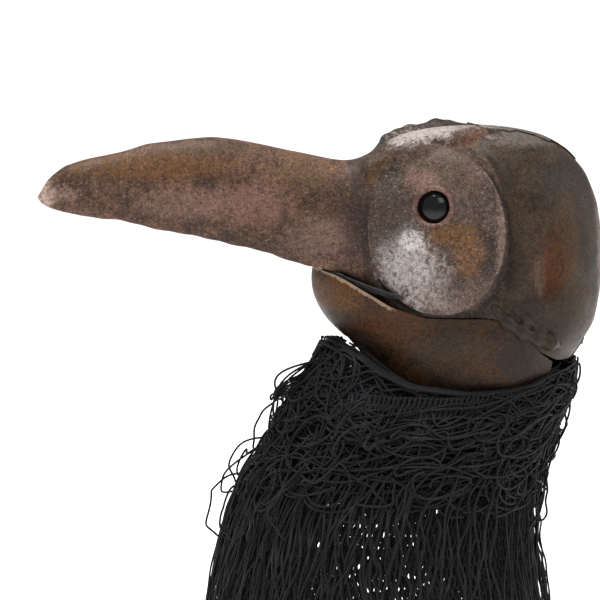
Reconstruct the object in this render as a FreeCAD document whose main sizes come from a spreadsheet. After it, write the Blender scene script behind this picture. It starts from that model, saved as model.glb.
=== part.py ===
"""Full-head bird mask with a hinged lower jaw, an inner head harness and a yarn neck drape.

The wearer's head goes in from below and the crown pad sits on it, so the origin is the middle of that
pad's underside.  +Z is up, the beak points along -Y and the mask's own left side is +X.  Millimetres.

Every size is in the spreadsheet "sizes".  The head is a stack of ellipses, lofted at several offsets:
the difference of two of those lofts is a skin, and prisms drawn in the side view cut each skin into
the pieces that a maker would cast, glue or screw together.
"""

import FreeCAD, Part
import math
import os
import Sketcher

App = FreeCAD
Vector = App.Vector
doc = App.newDocument("bird_mask")
sheet = doc.addObject("Spreadsheet::Sheet", "sizes")
sheet_row = 0


def size(name, value):
    """Adds one driving dimension to the sheet and returns it."""
    global sheet_row
    sheet_row += 1
    sheet.set(f"A{sheet_row}", name)
    sheet.set(f"B{sheet_row}", str(value))
    sheet.setAlias(f"B{sheet_row}", name)
    return float(value)


# ------------------------------------------------------------------------------ driving dimensions
# Levels of the head from the crown down: height, half width, half length and middle along Y.
HEAD_LEVELS = {
    "crown": (54, 26, 30, -20),
    "forehead": (46, 60, 80, -8),
    "brow": (30, 84, 108, -4),
    "temple": (5, 99, 128, 2),
    "eye": (-30, 108, 137, 3),
    "cheek": (-80, 113, 140.5, 2.5),
    "mouth": (-130, 113, 140.5, 2.5),
    "hinge": (-165, 109, 132, -2),
    "jowl": (-195, 103, 119, -11),
    "rim": (-228, 96, 102, -18),
}
# Sections of the upper beak from root to tip: place along Y, middle height, half height, half width.
BEAK_SECTIONS = {
    "root": (-118, -42, 60, 50),
    "neck": (-150, -41.5, 59.5, 46),
    "first": (-205, -29.5, 59.5, 38),
    "second": (-260, -16.5, 56.5, 33),
    "third": (-310, -6, 52, 29),
    "fourth": (-360, -2, 45.5, 25.5),
    "fifth": (-405, -2.5, 35.5, 22),
    "sixth": (-440, -4, 27, 18),
    "seventh": (-465, -7.5, 19.5, 14),
    "eighth": (-480, -10.5, 11.5, 9.5),
    "tip": (-487, -13, 3.5, 3.4),
}
# Levels of the drape from the neck down: height, half width, half length and middle along Y.
DRAPE_LEVELS = {
    "collar": (-199, 106, 156, -39),
    "ruff": (-250, 120, 150, -60),
    "throat": (-292, 128, 153, -80),
    "nape": (-335, 136, 161, -102),
    "breast": (-400, 152, 171, -114),
    "lower": (-465, 168, 184, -116),
    "hem": (-540, 184, 196, -113),
}
# Outlines in the side view, as (Y, Z) corners in order.
SIDE_OUTLINES = {
    "face_area": [(-150, 80), (-38, 80), (-26, 35), (-13, 0), (-7, -40), (-7, -90), (-13, -125),
                  (-21, -141), (-92, -141.5), (-125, -132), (-150, -115)],
    "cranium_area": [(-37.5, 80), (160, 80), (160, -190), (103, -197), (80, -203), (64, -206),
                     (61, -192), (46, -187), (34, -181), (20, -163), (0, -149), (-20, -142),
                     (-12.5, -125), (-6.5, -90), (-6.5, -40), (-12.5, 0), (-25.5, 35)],
    "jaw_area": [(-215, -88), (-165, -107), (-125, -134), (-91, -143.5), (-27, -143.5), (0, -152),
                 (20, -166), (34, -184), (46, -190.5), (54, -196), (52, -208), (13, -219),
                 (-41, -224), (-103, -216), (-137, -198), (-147, -172), (-215, -186)],
    "drape_area": [(-340, -212), (-150, -212), (-105, -246), (-20, -246), (20, -240), (60, -218),
                   (84, -207), (140, -207), (140, -600), (-340, -600)],
    "scrim_area": [(-150, -112), (-60, -112), (-60, -172), (-150, -160)],
    "tab_area": [(70, -178), (140, -178), (140, -206), (70, -206)],
}

wall = size("wall", 4)
skin_gap = size("skin_gap", 0.4)
disc_thick = size("disc_thick", 4.6)
beak_wall = size("beak_wall", 3)
strip_thick = size("strip_thick", 3)
scrim_inset = size("scrim_inset", 6)
scrim_thick = size("scrim_thick", 1)
drape_thick = size("drape_thick", 4)
ruff_thick = size("ruff_thick", 12)
ruff_bottom = size("ruff_bottom", -325)
ruff_height = size("ruff_height", 113)
side_reach = size("side_reach", 240)

for level, values in HEAD_LEVELS.items():
    for what, value in zip(("height", "half_width", "half_length", "middle"), values):
        size(f"head_{level}_{what}", value)
for level, values in BEAK_SECTIONS.items():
    for what, value in zip(("place", "middle", "half_height", "half_width"), values):
        size(f"beak_{level}_{what}", value)
for level, values in DRAPE_LEVELS.items():
    for what, value in zip(("height", "half_width", "half_length", "middle"), values):
        size(f"drape_{level}_{what}", value)
for outline, corners in SIDE_OUTLINES.items():
    for number, (y, z) in enumerate(corners):
        size(f"{outline}_{number}_y", y)
        size(f"{outline}_{number}_z", z)

# Cheek disc: an upright ellipse in the side view.
disc_y = size("disc_y", -77)
disc_z = size("disc_z", -50)
disc_half_length = size("disc_half_length", 66)
disc_half_height = size("disc_half_height", 89)

# Eye unit: its axis leans forward from the mask's side.
eye_drill_length = size("eye_drill_length", 60)
eye_x = size("eye_x", 88)
eye_y = size("eye_y", -83)
eye_z = size("eye_z", -25)
eye_yaw = size("eye_yaw", 30)
eye_pitch = size("eye_pitch", 8)
eye_hole_radius = size("eye_hole_radius", 21)
rim_bore_radius = size("rim_bore_radius", 18)
lens_radius = size("lens_radius", 20.6)
lens_flange = size("lens_flange", 2)
lens_rise = size("lens_rise", 8)
lens_skin = size("lens_skin", 1.6)

# Jaw hinge: a shoulder screw on each side, along X.
pivot_y = size("pivot_y", 45)
pivot_z = size("pivot_z", -172)
pivot_radius = size("pivot_radius", 3)
pivot_clearance = size("pivot_clearance", 0.05)
ear_inner = size("ear_inner", 83)
ear_thick = size("ear_thick", 3.5)
ear_radius = size("ear_radius", 13)
ear_bottom = size("ear_bottom", -206)
ear_web_start = size("ear_web_start", 36)
ear_web_length = size("ear_web_length", 11)
screw_length = size("screw_length", 24)
screw_head_radius = size("screw_head_radius", 6)
screw_head_thick = size("screw_head_thick", 2.5)
nut_radius = size("nut_radius", 6.5)
nut_thick = size("nut_thick", 4)
nut_gap = size("nut_gap", 0.6)
spacer_radius = size("spacer_radius", 7)

# Lower beak: a hollow ellipsoid joined to the jaw.
lobe_y = size("lobe_y", -110)
lobe_z = size("lobe_z", -120)
lobe_half_width = size("lobe_half_width", 74)
lobe_half_length = size("lobe_half_length", 80)
lobe_half_height = size("lobe_half_height", 63)

# Harness: a headband ring, two crown straps and foam.
band_middle = size("band_middle", 3)
band_half_width = size("band_half_width", 84)
band_half_length = size("band_half_length", 104)
band_thick = size("band_thick", 2)
band_bottom = size("band_bottom", -80)
band_height = size("band_height", 30)
band_pad_thick = size("band_pad_thick", 6)
strap_thick = size("strap_thick", 1.5)
strap_width = size("strap_width", 22)
strap_spring_z = size("strap_spring_z", -50)
strap_leg = size("strap_leg", 22)
strap_gap = size("strap_gap", 0.2)
long_strap_rise = size("long_strap_rise", 56)
cross_strap_rise = size("cross_strap_rise", 58.5)
pad_reach = size("pad_reach", 62)
pad_inset = size("pad_inset", 2)
crown_pad_radius = size("crown_pad_radius", 34)
block_width = size("block_width", 34)
block_height = size("block_height", 26)
block_angle = size("block_angle", 52)
block_start = size("block_start", 70)
strap_rivet_radius = size("strap_rivet_radius", 3.5)
strap_rivet_length = size("strap_rivet_length", 4.6)
strap_rivet_start = size("strap_rivet_start", -1.8)
strap_rivet_z = size("strap_rivet_z", -62)

# Chin sling: webbing under the wearer's chin that carries the jaw down.
sling_y = size("sling_y", -94)
sling_width = size("sling_width", 22)
sling_half_width = size("sling_half_width", 66)
sling_drop = size("sling_drop", 40)
sling_top = size("sling_top", -188)
sling_thick = size("sling_thick", 1.6)
chin_pad_half_width = size("chin_pad_half_width", 28)
chin_pad_thick = size("chin_pad_thick", 6)
sling_rivet_z = size("sling_rivet_z", -195)
sling_rivet_radius = size("sling_rivet_radius", 3.5)
sling_rivet_length = size("sling_rivet_length", 12)

# Jaw elastics: a flat band on each side from the cranium down to the jaw.
elastic_y = size("elastic_y", 4)
elastic_x = size("elastic_x", 101)
elastic_thick = size("elastic_thick", 1.2)
elastic_width = size("elastic_width", 10)
elastic_top = size("elastic_top", -112)
elastic_bottom = size("elastic_bottom", -176)
elastic_lean = size("elastic_lean", 5)
button_radius = size("button_radius", 3)
button_inset = size("button_inset", 5)
button_length = size("button_length", 8)

# Jaw fold: a rolled ridge over each hinge.
fold_x = size("fold_x", 105)
fold_y = size("fold_y", 16)
fold_z = size("fold_z", -158)
fold_half_length = size("fold_half_length", 42)
fold_half_height = size("fold_half_height", 14)
fold_half_thick = size("fold_half_thick", 11)
fold_slope = size("fold_slope", 32)

# Brow ridge: a tapered roll that ends in a knob.
ridge_radius = size("ridge_radius", 9)
knob_x = size("knob_x", 50)
knob_y = size("knob_y", -24)
knob_z = size("knob_z", 47)
knob_radius = size("knob_radius", 11)

# Nape tab: a riveted strip of card behind the cranium's rim that carries the drape.
tab_half_width = size("tab_half_width", 26)
tab_rivet_spread = size("tab_rivet_spread", 15)
tab_rivet_radius = size("tab_rivet_radius", 3)
tab_rivet_y = size("tab_rivet_y", 106)
tab_rivet_z = size("tab_rivet_z", -188)
tab_rivet_length = size("tab_rivet_length", 12)

# Crown strip: a lapped strip of paper over the seam on top of the skull.
size("crown_strip_half_width", 34)
size("crown_strip_front", -12)
size("crown_strip_length", 128)

doc.recompute()


# ------------------------------------------------------------------------------ shared builders
def bind(thing, **expressions):
    """Binds properties to the sheet; double underscores stand for dots."""
    for name, expression in expressions.items():
        thing.setExpression(name.replace("__", "."), expression)
    return thing


def primitive(kind, name, **expressions):
    return bind(doc.addObject(kind, name), **expressions)


def two_shape(kind, name, base, tool):
    thing = doc.addObject(kind, name)
    thing.Base, thing.Tool = base, tool
    return thing


def cut(name, base, tool):
    return two_shape("Part::Cut", name, base, tool)


def common(name, *shapes):
    thing = doc.addObject("Part::MultiCommon", name)
    thing.Shapes = list(shapes)
    return thing


def drilled(name, base, *tools):
    """Cuts the tools out of the base one after another."""
    for number, tool in enumerate(tools):
        base = cut(f"{name}_{number}", base, tool)
    return base


def fuse(name, *shapes):
    thing = doc.addObject("Part::MultiFuse", name)
    thing.Shapes = list(shapes)
    return thing


def ring_loft(name, family, levels, grow, seam=90):
    """Solid through level ellipses, each grown by an expression; its seam is behind, or in front at -90."""
    rings = []
    for number, level in enumerate(levels):
        prefix = f"sizes.{family}_{level}"
        ring = doc.addObject("Part::Ellipse", f"{name}_{level}")
        ring.Placement = App.Placement(Vector(), App.Rotation(Vector(0, 0, 1), seam))
        height = f"{prefix}_height" + (f" + ({grow})" if number == 0 else "")
        bind(ring, MajorRadius=f"{prefix}_half_length + ({grow})",
             MinorRadius=f"{prefix}_half_width + ({grow})",
             Placement__Base__y=f"{prefix}_middle", Placement__Base__z=height)
        rings.append(ring)
    loft = doc.addObject("Part::Loft", name)
    loft.Sections, loft.Solid, loft.Ruled, loft.Closed = rings, True, False, False
    return loft


def beak_loft(name, shrink, root_extra):
    """Solid through the beak's upright ellipses, shrunk by an expression."""
    rings = []
    for number, section in enumerate(BEAK_SECTIONS):
        if section == "tip" and shrink != "0":
            continue
        prefix = f"sizes.beak_{section}"
        ring = doc.addObject("Part::Ellipse", f"{name}_{section}")
        ring.Placement = App.Placement(Vector(), App.Rotation(Vector(0, 0, 1), Vector(1, 0, 0),
                                                              Vector(0, -1, 0), "YZX"))
        place = f"{prefix}_place" + (f" + {root_extra}" if number == 0 else "")
        bind(ring, MajorRadius=f"{prefix}_half_height - ({shrink})",
             MinorRadius=f"{prefix}_half_width - ({shrink})",
             Placement__Base__y=place, Placement__Base__z=f"{prefix}_middle")
        rings.append(ring)
    loft = doc.addObject("Part::Loft", name)
    loft.Sections, loft.Solid, loft.Ruled, loft.Closed = rings, True, False, False
    return loft


def side_sketch(name, outline):
    """Closed sketch in the side plane whose corners sit where the sheet says."""
    sketch = doc.addObject("Sketcher::SketchObject", name)
    sketch.Placement = App.Placement(Vector(), App.Rotation(Vector(0, 1, 0), Vector(0, 0, 1),
                                                            Vector(1, 0, 0), "ZXY"))
    corners = SIDE_OUTLINES[outline]
    count = len(corners)
    for number, (y, z) in enumerate(corners):
        following = corners[(number + 1) % count]
        sketch.addGeometry(Part.LineSegment(Vector(y, z, 0), Vector(*following, 0)), False)
    for number in range(count):
        sketch.addConstraint(Sketcher.Constraint("Coincident", number, 2, (number + 1) % count, 1))
    for number, (y, z) in enumerate(corners):
        for kind, value, axis in (("DistanceX", y, "y"), ("DistanceY", z, "z")):
            index = sketch.addConstraint(Sketcher.Constraint(kind, -1, 1, number, 1, value))
            sketch.setExpression(f"Constraints[{index}]", f"sizes.{outline}_{number}_{axis}")
    return sketch


def side_prism(name, outline):
    """The outline carried right through the mask along X."""
    prism = doc.addObject("Part::Extrusion", name)
    prism.Base = side_sketch(f"{name}_sketch", outline)
    prism.DirMode, prism.Dir, prism.Solid, prism.Symmetric = "Custom", Vector(1, 0, 0), True, True
    bind(prism, LengthFwd="2 * sizes.side_reach")
    return prism


def oval_prism(name, half_width, half_length, middle, bottom, height):
    """Upright elliptical cylinder."""
    ring = doc.addObject("Part::Ellipse", f"{name}_ring")
    ring.Placement = App.Placement(Vector(), App.Rotation(Vector(0, 0, 1), 90))
    bind(ring, MajorRadius=half_length, MinorRadius=half_width,
         Placement__Base__y=middle, Placement__Base__z=bottom)
    prism = doc.addObject("Part::Extrusion", name)
    prism.Base, prism.DirMode, prism.Dir, prism.Solid = ring, "Custom", Vector(0, 0, 1), True
    bind(prism, LengthFwd=height)
    return prism


def box(name, x, y, z, length, width, height):
    """Box from its lowest corner; every argument is an expression."""
    return primitive("Part::Box", name, Length=length, Width=width, Height=height,
                     Placement__Base__x=x, Placement__Base__y=y, Placement__Base__z=z)


def x_cylinder(name, x, y, z, radius, length):
    """Cylinder along +X from x."""
    rod = doc.addObject("Part::Cylinder", name)
    rod.Placement = App.Placement(Vector(), App.Rotation(Vector(0, 1, 0), 90))
    return bind(rod, Radius=radius, Height=length, Placement__Base__x=x, Placement__Base__y=y,
                Placement__Base__z=z)


def mirrored(name, source):
    """The same piece on the other side of the mask."""
    twin = doc.addObject("Part::Mirroring", name)
    twin.Source, twin.Normal, twin.Base = source, Vector(1, 0, 0), Vector()
    return twin


parts = {}


def keep(label, thing):
    """Names a finished sub-part."""
    thing.Label = label
    parts[label] = thing
    return thing


def keep_pair(piece, thing):
    """Keeps a left piece and its mirror image on the right."""
    keep(f"left_{piece}", thing)
    keep(f"right_{piece}", mirrored(f"right_{piece}_mirror", thing))


# ------------------------------------------------------------------------------ head skins
form_outer = ring_loft("form_outer", "head", HEAD_LEVELS, "0")
form_inner = ring_loft("form_inner", "head", HEAD_LEVELS, "-sizes.wall")
form_gap = ring_loft("form_gap", "head", HEAD_LEVELS, "sizes.skin_gap")
form_disc = ring_loft("form_disc", "head", HEAD_LEVELS, "sizes.disc_thick")
form_strip = ring_loft("form_strip", "head", HEAD_LEVELS, "sizes.strip_thick")
form_scrim = ring_loft("form_scrim", "head", HEAD_LEVELS, "-sizes.scrim_inset")
form_scrim_inner = ring_loft("form_scrim_inner", "head", HEAD_LEVELS,
                             "-sizes.scrim_inset - sizes.scrim_thick")
head_skin = cut("head_skin", form_outer, form_inner)
beak_outer = beak_loft("beak_outer", "0", "0")
beak_inner = beak_loft("beak_inner", "sizes.beak_wall", "1")
left_half = box("left_half", "1", "-2 * sizes.side_reach", "-3 * sizes.side_reach", "sizes.side_reach",
                "4 * sizes.side_reach", "4 * sizes.side_reach")


def eye_frame(thing, offset):
    """Stands a piece made along +Z on the left eye's axis, offset along it."""
    yaw, pitch = math.radians(eye_yaw), math.radians(eye_pitch)
    axis = Vector(math.cos(yaw) * math.cos(pitch), -math.sin(yaw) * math.cos(pitch), math.sin(pitch))
    centre = Vector(eye_x, eye_y, eye_z) + axis * offset
    thing.Placement = App.Placement(centre, App.Rotation(Vector(0, 0, 1), axis))
    return thing


eye_drill = primitive("Part::Cylinder", "eye_drill", Radius="sizes.eye_hole_radius",
                      Height="sizes.eye_drill_length")
eye_frame(eye_drill, -eye_drill_length / 2)
eye_drill_right = mirrored("eye_drill_right", eye_drill)

face_blank = common("face_blank", head_skin, side_prism("face_area_prism", "face_area"))
face_cutters = fuse("face_cutters", beak_outer, eye_drill, eye_drill_right)
keep("face_shell", cut("face_shell_cut", face_blank, face_cutters))

tab_rivet_left = doc.addObject("Part::Cylinder", "tab_rivet_left")
tab_rivet_left.Placement = App.Placement(Vector(), App.Rotation(Vector(1, 0, 0), -90))
bind(tab_rivet_left, Radius="sizes.tab_rivet_radius", Height="sizes.tab_rivet_length",
     Placement__Base__x="sizes.tab_rivet_spread", Placement__Base__y="sizes.tab_rivet_y",
     Placement__Base__z="sizes.tab_rivet_z")
tab_rivet_pair = doc.addObject("Part::Compound", "tab_rivet_pair")
tab_rivet_pair.Links = [tab_rivet_left, mirrored("tab_rivet_right", tab_rivet_left)]
keep("tab_rivets", tab_rivet_pair)
tab_box = box("tab_box", "-sizes.tab_half_width", "sizes.tab_half_width", "-2 * sizes.side_reach",
              "2 * sizes.tab_half_width", "sizes.side_reach", "2 * sizes.side_reach")
strip_skin = cut("strip_skin", form_strip, form_gap)
tab_skin = cut("tab_skin", ring_loft("tab_outer", "head", HEAD_LEVELS, "sizes.strip_thick", -90),
               ring_loft("tab_inner", "head", HEAD_LEVELS, "sizes.skin_gap", -90))
tab_blank = common("tab_blank", tab_skin, side_prism("tab_prism", "tab_area"), tab_box)
keep("nape_tab", drilled("tab_drilling", tab_blank, *tab_rivet_pair.Links))

cranium_skin = cut("cranium_skin", ring_loft("cranium_outer", "head", HEAD_LEVELS, "0", -90),
                   ring_loft("cranium_inner", "head", HEAD_LEVELS, "-sizes.wall", -90))
cranium_blank = common("cranium_blank", cranium_skin, side_prism("cranium_area_prism", "cranium_area"))

beak_shell = cut("beak_shell", beak_outer, beak_inner)
keep("upper_beak", beak_shell)

# ------------------------------------------------------------------------------ beak formers
for former, place, bore in (("root", -175, 26), ("middle", -300, 15)):
    size(f"{former}_former_place", place)
    size(f"{former}_former_bore", bore)
    size(f"{former}_former_middle", -34 if former == "root" else -7)
    doc.recompute()
    slab = box(f"{former}_slab", "-sizes.side_reach", f"sizes.{former}_former_place",
               "-sizes.side_reach", "2 * sizes.side_reach", "3", "2 * sizes.side_reach")
    disc = common(f"{former}_former_disc", slab, beak_inner)
    hole = doc.addObject("Part::Cylinder", f"{former}_former_hole")
    hole.Placement = App.Placement(Vector(), App.Rotation(Vector(1, 0, 0), -90))
    bind(hole, Radius=f"sizes.{former}_former_bore", Height="20",
         Placement__Base__y=f"sizes.{former}_former_place - 8",
         Placement__Base__z=f"sizes.{former}_former_middle")
    keep(f"beak_{former}_former", cut(f"{former}_former_cut", disc, hole))

# ------------------------------------------------------------------------------ lower jaw
jaw_prism = side_prism("jaw_area_prism", "jaw_area")
jaw_wall = common("jaw_wall", head_skin, jaw_prism)
lobe_outer = primitive("Part::Ellipsoid", "lobe_outer", Radius1="sizes.lobe_half_height",
                       Radius2="sizes.lobe_half_width", Radius3="sizes.lobe_half_length",
                       Placement__Base__y="sizes.lobe_y", Placement__Base__z="sizes.lobe_z")
lobe_inner = primitive("Part::Ellipsoid", "lobe_inner",
                       Radius1="sizes.lobe_half_height - sizes.wall",
                       Radius2="sizes.lobe_half_width - sizes.wall",
                       Radius3="sizes.lobe_half_length - sizes.wall",
                       Placement__Base__y="sizes.lobe_y", Placement__Base__z="sizes.lobe_z")
lobe_part = common("lobe_part", lobe_outer, jaw_prism)
lobe_front = cut("lobe_front", lobe_part, form_inner)
jaw_bowl = cut("jaw_bowl", fuse("jaw_and_lobe", jaw_wall, lobe_front), lobe_inner)


def jaw_ear(side):
    """Plate inside the cranium that carries the jaw on its hinge screw."""
    inner = "sizes.ear_inner" if side == "left" else "-sizes.ear_inner - sizes.ear_thick"
    disc = x_cylinder(f"{side}_ear_disc", inner, "sizes.pivot_y", "sizes.pivot_z",
                      "sizes.ear_radius", "sizes.ear_thick")
    web = box(f"{side}_ear_web", inner, "sizes.ear_web_start", "sizes.ear_bottom",
              "sizes.ear_thick", "sizes.ear_web_length", "sizes.pivot_z - sizes.ear_bottom")
    return [disc, common(f"{side}_ear_web_trim", web, form_outer)]


jaw_body = fuse("jaw_body", jaw_bowl, *jaw_ear("left"), *jaw_ear("right"))
hinge_bore = x_cylinder("hinge_bore", "-sizes.side_reach", "sizes.pivot_y", "sizes.pivot_z",
                        "sizes.pivot_radius + sizes.pivot_clearance", "2 * sizes.side_reach")

# ------------------------------------------------------------------------------ hinge hardware
nut_x = "(sizes.ear_inner - sizes.nut_gap - sizes.nut_thick)"
screw_shaft = x_cylinder("screw_shaft", nut_x, "sizes.pivot_y", "sizes.pivot_z",
                         "sizes.pivot_radius", "sizes.screw_length + 0.5")
screw_head = x_cylinder("screw_head", f"{nut_x} + sizes.screw_length", "sizes.pivot_y",
                        "sizes.pivot_z", "sizes.screw_head_radius", "sizes.screw_head_thick")
keep_pair("jaw_pivot_screw", fuse("screw_body", screw_shaft, screw_head))

nut_blank = doc.addObject("Part::Prism", "nut_blank")
nut_blank.Polygon = 6
nut_blank.Placement = App.Placement(Vector(), App.Rotation(Vector(0, 1, 0), 90))
bind(nut_blank, Circumradius="sizes.nut_radius", Height="sizes.nut_thick",
     Placement__Base__x=nut_x, Placement__Base__y="sizes.pivot_y", Placement__Base__z="sizes.pivot_z")
keep_pair("jaw_pivot_nut", cut("nut_cut", nut_blank, screw_shaft))

spacer_blank = x_cylinder("spacer_blank", "sizes.ear_inner + sizes.ear_thick + 0.4",
                          "sizes.pivot_y", "sizes.pivot_z", "sizes.spacer_radius", "20")
spacer_trim = common("spacer_trim", spacer_blank, form_inner)
keep_pair("pivot_spacer", cut("spacer_cut", spacer_trim, screw_shaft))

# ------------------------------------------------------------------------------ cheek discs, ridges, folds
disc_ring = doc.addObject("Part::Ellipse", "disc_ring")
disc_ring.Placement = App.Placement(Vector(), App.Rotation(Vector(0, 0, 1), Vector(0, 1, 0),
                                                           Vector(1, 0, 0), "ZXY"))
bind(disc_ring, MajorRadius="sizes.disc_half_height", MinorRadius="sizes.disc_half_length",
     Placement__Base__y="sizes.disc_y", Placement__Base__z="sizes.disc_z")
disc_prism = doc.addObject("Part::Extrusion", "disc_prism")
disc_prism.Base, disc_prism.DirMode, disc_prism.Dir = disc_ring, "Custom", Vector(1, 0, 0)
disc_prism.Solid = True
bind(disc_prism, LengthFwd="sizes.side_reach")
disc_skin = cut("disc_skin", form_disc, form_gap)
disc_blank = common("disc_blank", disc_skin, disc_prism, left_half)
disc_cutters = fuse("disc_cutters", eye_drill, beak_outer)
cheek_disc = cut("cheek_disc_cut", disc_blank, disc_cutters)
keep_pair("cheek_disc", cheek_disc)

fold_blank = doc.addObject("Part::Ellipsoid", "fold_blank")
fold_blank.Placement = App.Placement(Vector(), App.Rotation(Vector(1, 0, 0), -fold_slope))
bind(fold_blank, Radius1="sizes.fold_half_height", Radius2="sizes.fold_half_thick",
     Radius3="sizes.fold_half_length", Placement__Base__x="sizes.fold_x",
     Placement__Base__y="sizes.fold_y", Placement__Base__z="sizes.fold_z")
fold_trim = common("fold_trim", fold_blank, side_prism("fold_area_prism", "cranium_area"))
fold_open = cut("fold_open", fold_trim, form_gap)
head_recess = x_cylinder("head_recess", f"{nut_x}", "sizes.pivot_y", "sizes.pivot_z",
                         "sizes.screw_head_radius + 0.5", "sizes.screw_length + 3")
keep_pair("jaw_fold", cut("fold_cut", fold_open, head_recess))

ridge_path = doc.addObject("Part::Feature", "ridge_path")
ridge_line = Part.BSplineCurve()
ridge_line.interpolate([Vector(34, -114, 19), Vector(47, -95, 31), Vector(55, -62, 41),
                        Vector(knob_x, knob_y, knob_z)])
ridge_path.Shape = Part.Wire([ridge_line.toShape()])
ridge_start = ridge_line.value(ridge_line.FirstParameter)
ridge_way = ridge_line.tangent(ridge_line.FirstParameter)[0]
ridge_pipe = doc.addObject("Part::Feature", "ridge_pipe")
ridge_ring = Part.Wire([Part.makeCircle(ridge_radius, ridge_start, ridge_way)])
ridge_pipe.Shape = ridge_path.Shape.Wires[0].makePipeShell([ridge_ring], True, False)
ridge_knob = primitive("Part::Sphere", "ridge_knob", Radius="sizes.knob_radius",
                       Placement__Base__x="sizes.knob_x", Placement__Base__y="sizes.knob_y",
                       Placement__Base__z="sizes.knob_z")
ridge_solid = fuse("ridge_solid", ridge_pipe, ridge_knob)
disc_core = common("disc_core", disc_prism, form_disc)
ridge_cutters = fuse("ridge_cutters", form_gap, disc_core, beak_outer)
keep_pair("brow_ridge", cut("ridge_cut", ridge_solid, ridge_cutters))

strip_box = box("strip_box", "-sizes.crown_strip_half_width", "sizes.crown_strip_front", "0",
                "2 * sizes.crown_strip_half_width", "sizes.crown_strip_length", "sizes.side_reach")
strip_blank = common("strip_blank", strip_skin, strip_box)
keep("crown_strip", strip_blank)

# ------------------------------------------------------------------------------ eye units
def turned(name, profile):
    """Body turned about the eye axis from (radius, along) corners."""
    body = doc.addObject("PartDesign::Body", name)
    sketch = body.newObject("Sketcher::SketchObject", f"{name}_sketch")
    plane = [f for f in body.Origin.OriginFeatures if f.Role == "XZ_Plane"][0]
    sketch.AttachmentSupport, sketch.MapMode = (plane, ""), "FlatFace"
    count = len(profile)
    for number, corner in enumerate(profile):
        following = profile[(number + 1) % count]
        sketch.addGeometry(Part.LineSegment(Vector(corner[0][0], corner[1][0], 0),
                                            Vector(following[0][0], following[1][0], 0)), False)
    for number in range(count):
        sketch.addConstraint(Sketcher.Constraint("Coincident", number, 2, (number + 1) % count, 1))
    for number, corner in enumerate(profile):
        for kind, (value, expression) in zip(("DistanceX", "DistanceY"), corner):
            if value == 0:
                sketch.addConstraint(Sketcher.Constraint(
                    "PointOnObject", number, 1, -2 if kind == "DistanceX" else -1))
                continue
            index = sketch.addConstraint(Sketcher.Constraint(kind, -1, 1, number, 1, value))
            sketch.setExpression(f"Constraints[{index}]", expression)
    turn = body.newObject("PartDesign::Revolution", f"{name}_turn")
    turn.Profile = sketch
    turn.ReferenceAxis = (sketch, ["V_Axis"])
    turn.Angle = 360
    body.Tip = turn
    return body


rim_outer = (eye_hole_radius - 0.15, "sizes.eye_hole_radius - 0.15")
rim_bore = (rim_bore_radius, "sizes.rim_bore_radius")
rim_lip = (rim_bore_radius + 2, "sizes.rim_bore_radius + 2")
rim_body = turned("eye_rim_body", [(rim_bore, (0.2, "0.2")), (rim_outer, (0.2, "0.2")),
                                   (rim_outer, (7, "7")), (rim_lip, (9, "9")),
                                   (rim_bore, (7.5, "7.5"))])
eye_frame(rim_body, -5)
keep_pair("eye_rim", rim_body)

dome_step = rim_bore_radius - 0.3
lens_profile = [((0, ""), (lens_rise, "sizes.lens_rise"))]
DOME_STEPS = 5
for step in range(1, DOME_STEPS + 1):
    turn_angle = math.pi / 2 * step / DOME_STEPS
    share_r, share_z = math.sin(turn_angle), math.cos(turn_angle)
    if step == DOME_STEPS:
        share_z = 0
    lens_profile.append(((dome_step * share_r, f"(sizes.rim_bore_radius - 0.3) * {share_r:.5f}"),
                         (lens_rise * share_z, f"sizes.lens_rise * {share_z:.5f}")))
lens_profile.append(((dome_step, "sizes.rim_bore_radius - 0.3"), (-0.01, "-0.01")))
lens_profile.append(((lens_radius, "sizes.lens_radius"), (-0.02, "-0.02")))
lens_profile.append(((lens_radius, "sizes.lens_radius"), (-lens_flange, "-sizes.lens_flange")))
lens_profile.append(((0, ""), (-lens_flange, "-sizes.lens_flange")))
lens_body = turned("eye_lens_body", lens_profile)
eye_frame(lens_body, -5)
keep_pair("eye_lens", lens_body)

retainer_outer = (eye_hole_radius - 0.4, "sizes.eye_hole_radius - 0.4")
retainer_bore = (rim_bore_radius - 3, "sizes.rim_bore_radius - 3")
retainer_body = turned("retainer_body", [
    (retainer_bore, (-0.1, "-0.1")), (retainer_outer, (-0.1, "-0.1")),
    (retainer_outer, (-2.1, "-2.1")), (retainer_bore, (-2.1, "-2.1"))])
eye_frame(retainer_body, -5 - lens_flange)
keep_pair("lens_retainer", retainer_body)

# ------------------------------------------------------------------------------ mouth scrim and seam band
scrim_skin = cut("scrim_skin", form_scrim, form_scrim_inner)
scrim_blank = common("scrim_blank", scrim_skin, side_prism("scrim_prism", "scrim_area"))
keep("mouth_scrim", cut("scrim_cut", scrim_blank, beak_outer))

# ------------------------------------------------------------------------------ harness
band_outer = oval_prism("band_outer", "sizes.band_half_width", "sizes.band_half_length",
                        "sizes.band_middle", "sizes.band_bottom", "sizes.band_height")
band_inner = oval_prism("band_inner", "sizes.band_half_width - sizes.band_thick",
                        "sizes.band_half_length - sizes.band_thick", "sizes.band_middle",
                        "sizes.band_bottom", "sizes.band_height")
rivets = []
for number, (x, y, heading) in enumerate(((band_half_width, band_middle, 0),
                                          (-band_half_width, band_middle, 180),
                                          (0, band_middle + band_half_length, 90),
                                          (0, band_middle - band_half_length, -90))):
    rivet = doc.addObject("Part::Cylinder", f"strap_rivet_{number}")
    turn = App.Rotation(Vector(0, 0, 1), heading).multiply(App.Rotation(Vector(0, 1, 0), 90))
    start = Vector(x, y, strap_rivet_z) + turn.multVec(Vector(0, 0, strap_rivet_start))
    rivet.Placement = App.Placement(start, turn)
    bind(rivet, Radius="sizes.strap_rivet_radius", Height="sizes.strap_rivet_length")
    rivets.append(rivet)
strap_rivets = doc.addObject("Part::Compound", "strap_rivets_group")
strap_rivets.Links = rivets
keep("strap_rivets", strap_rivets)
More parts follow.
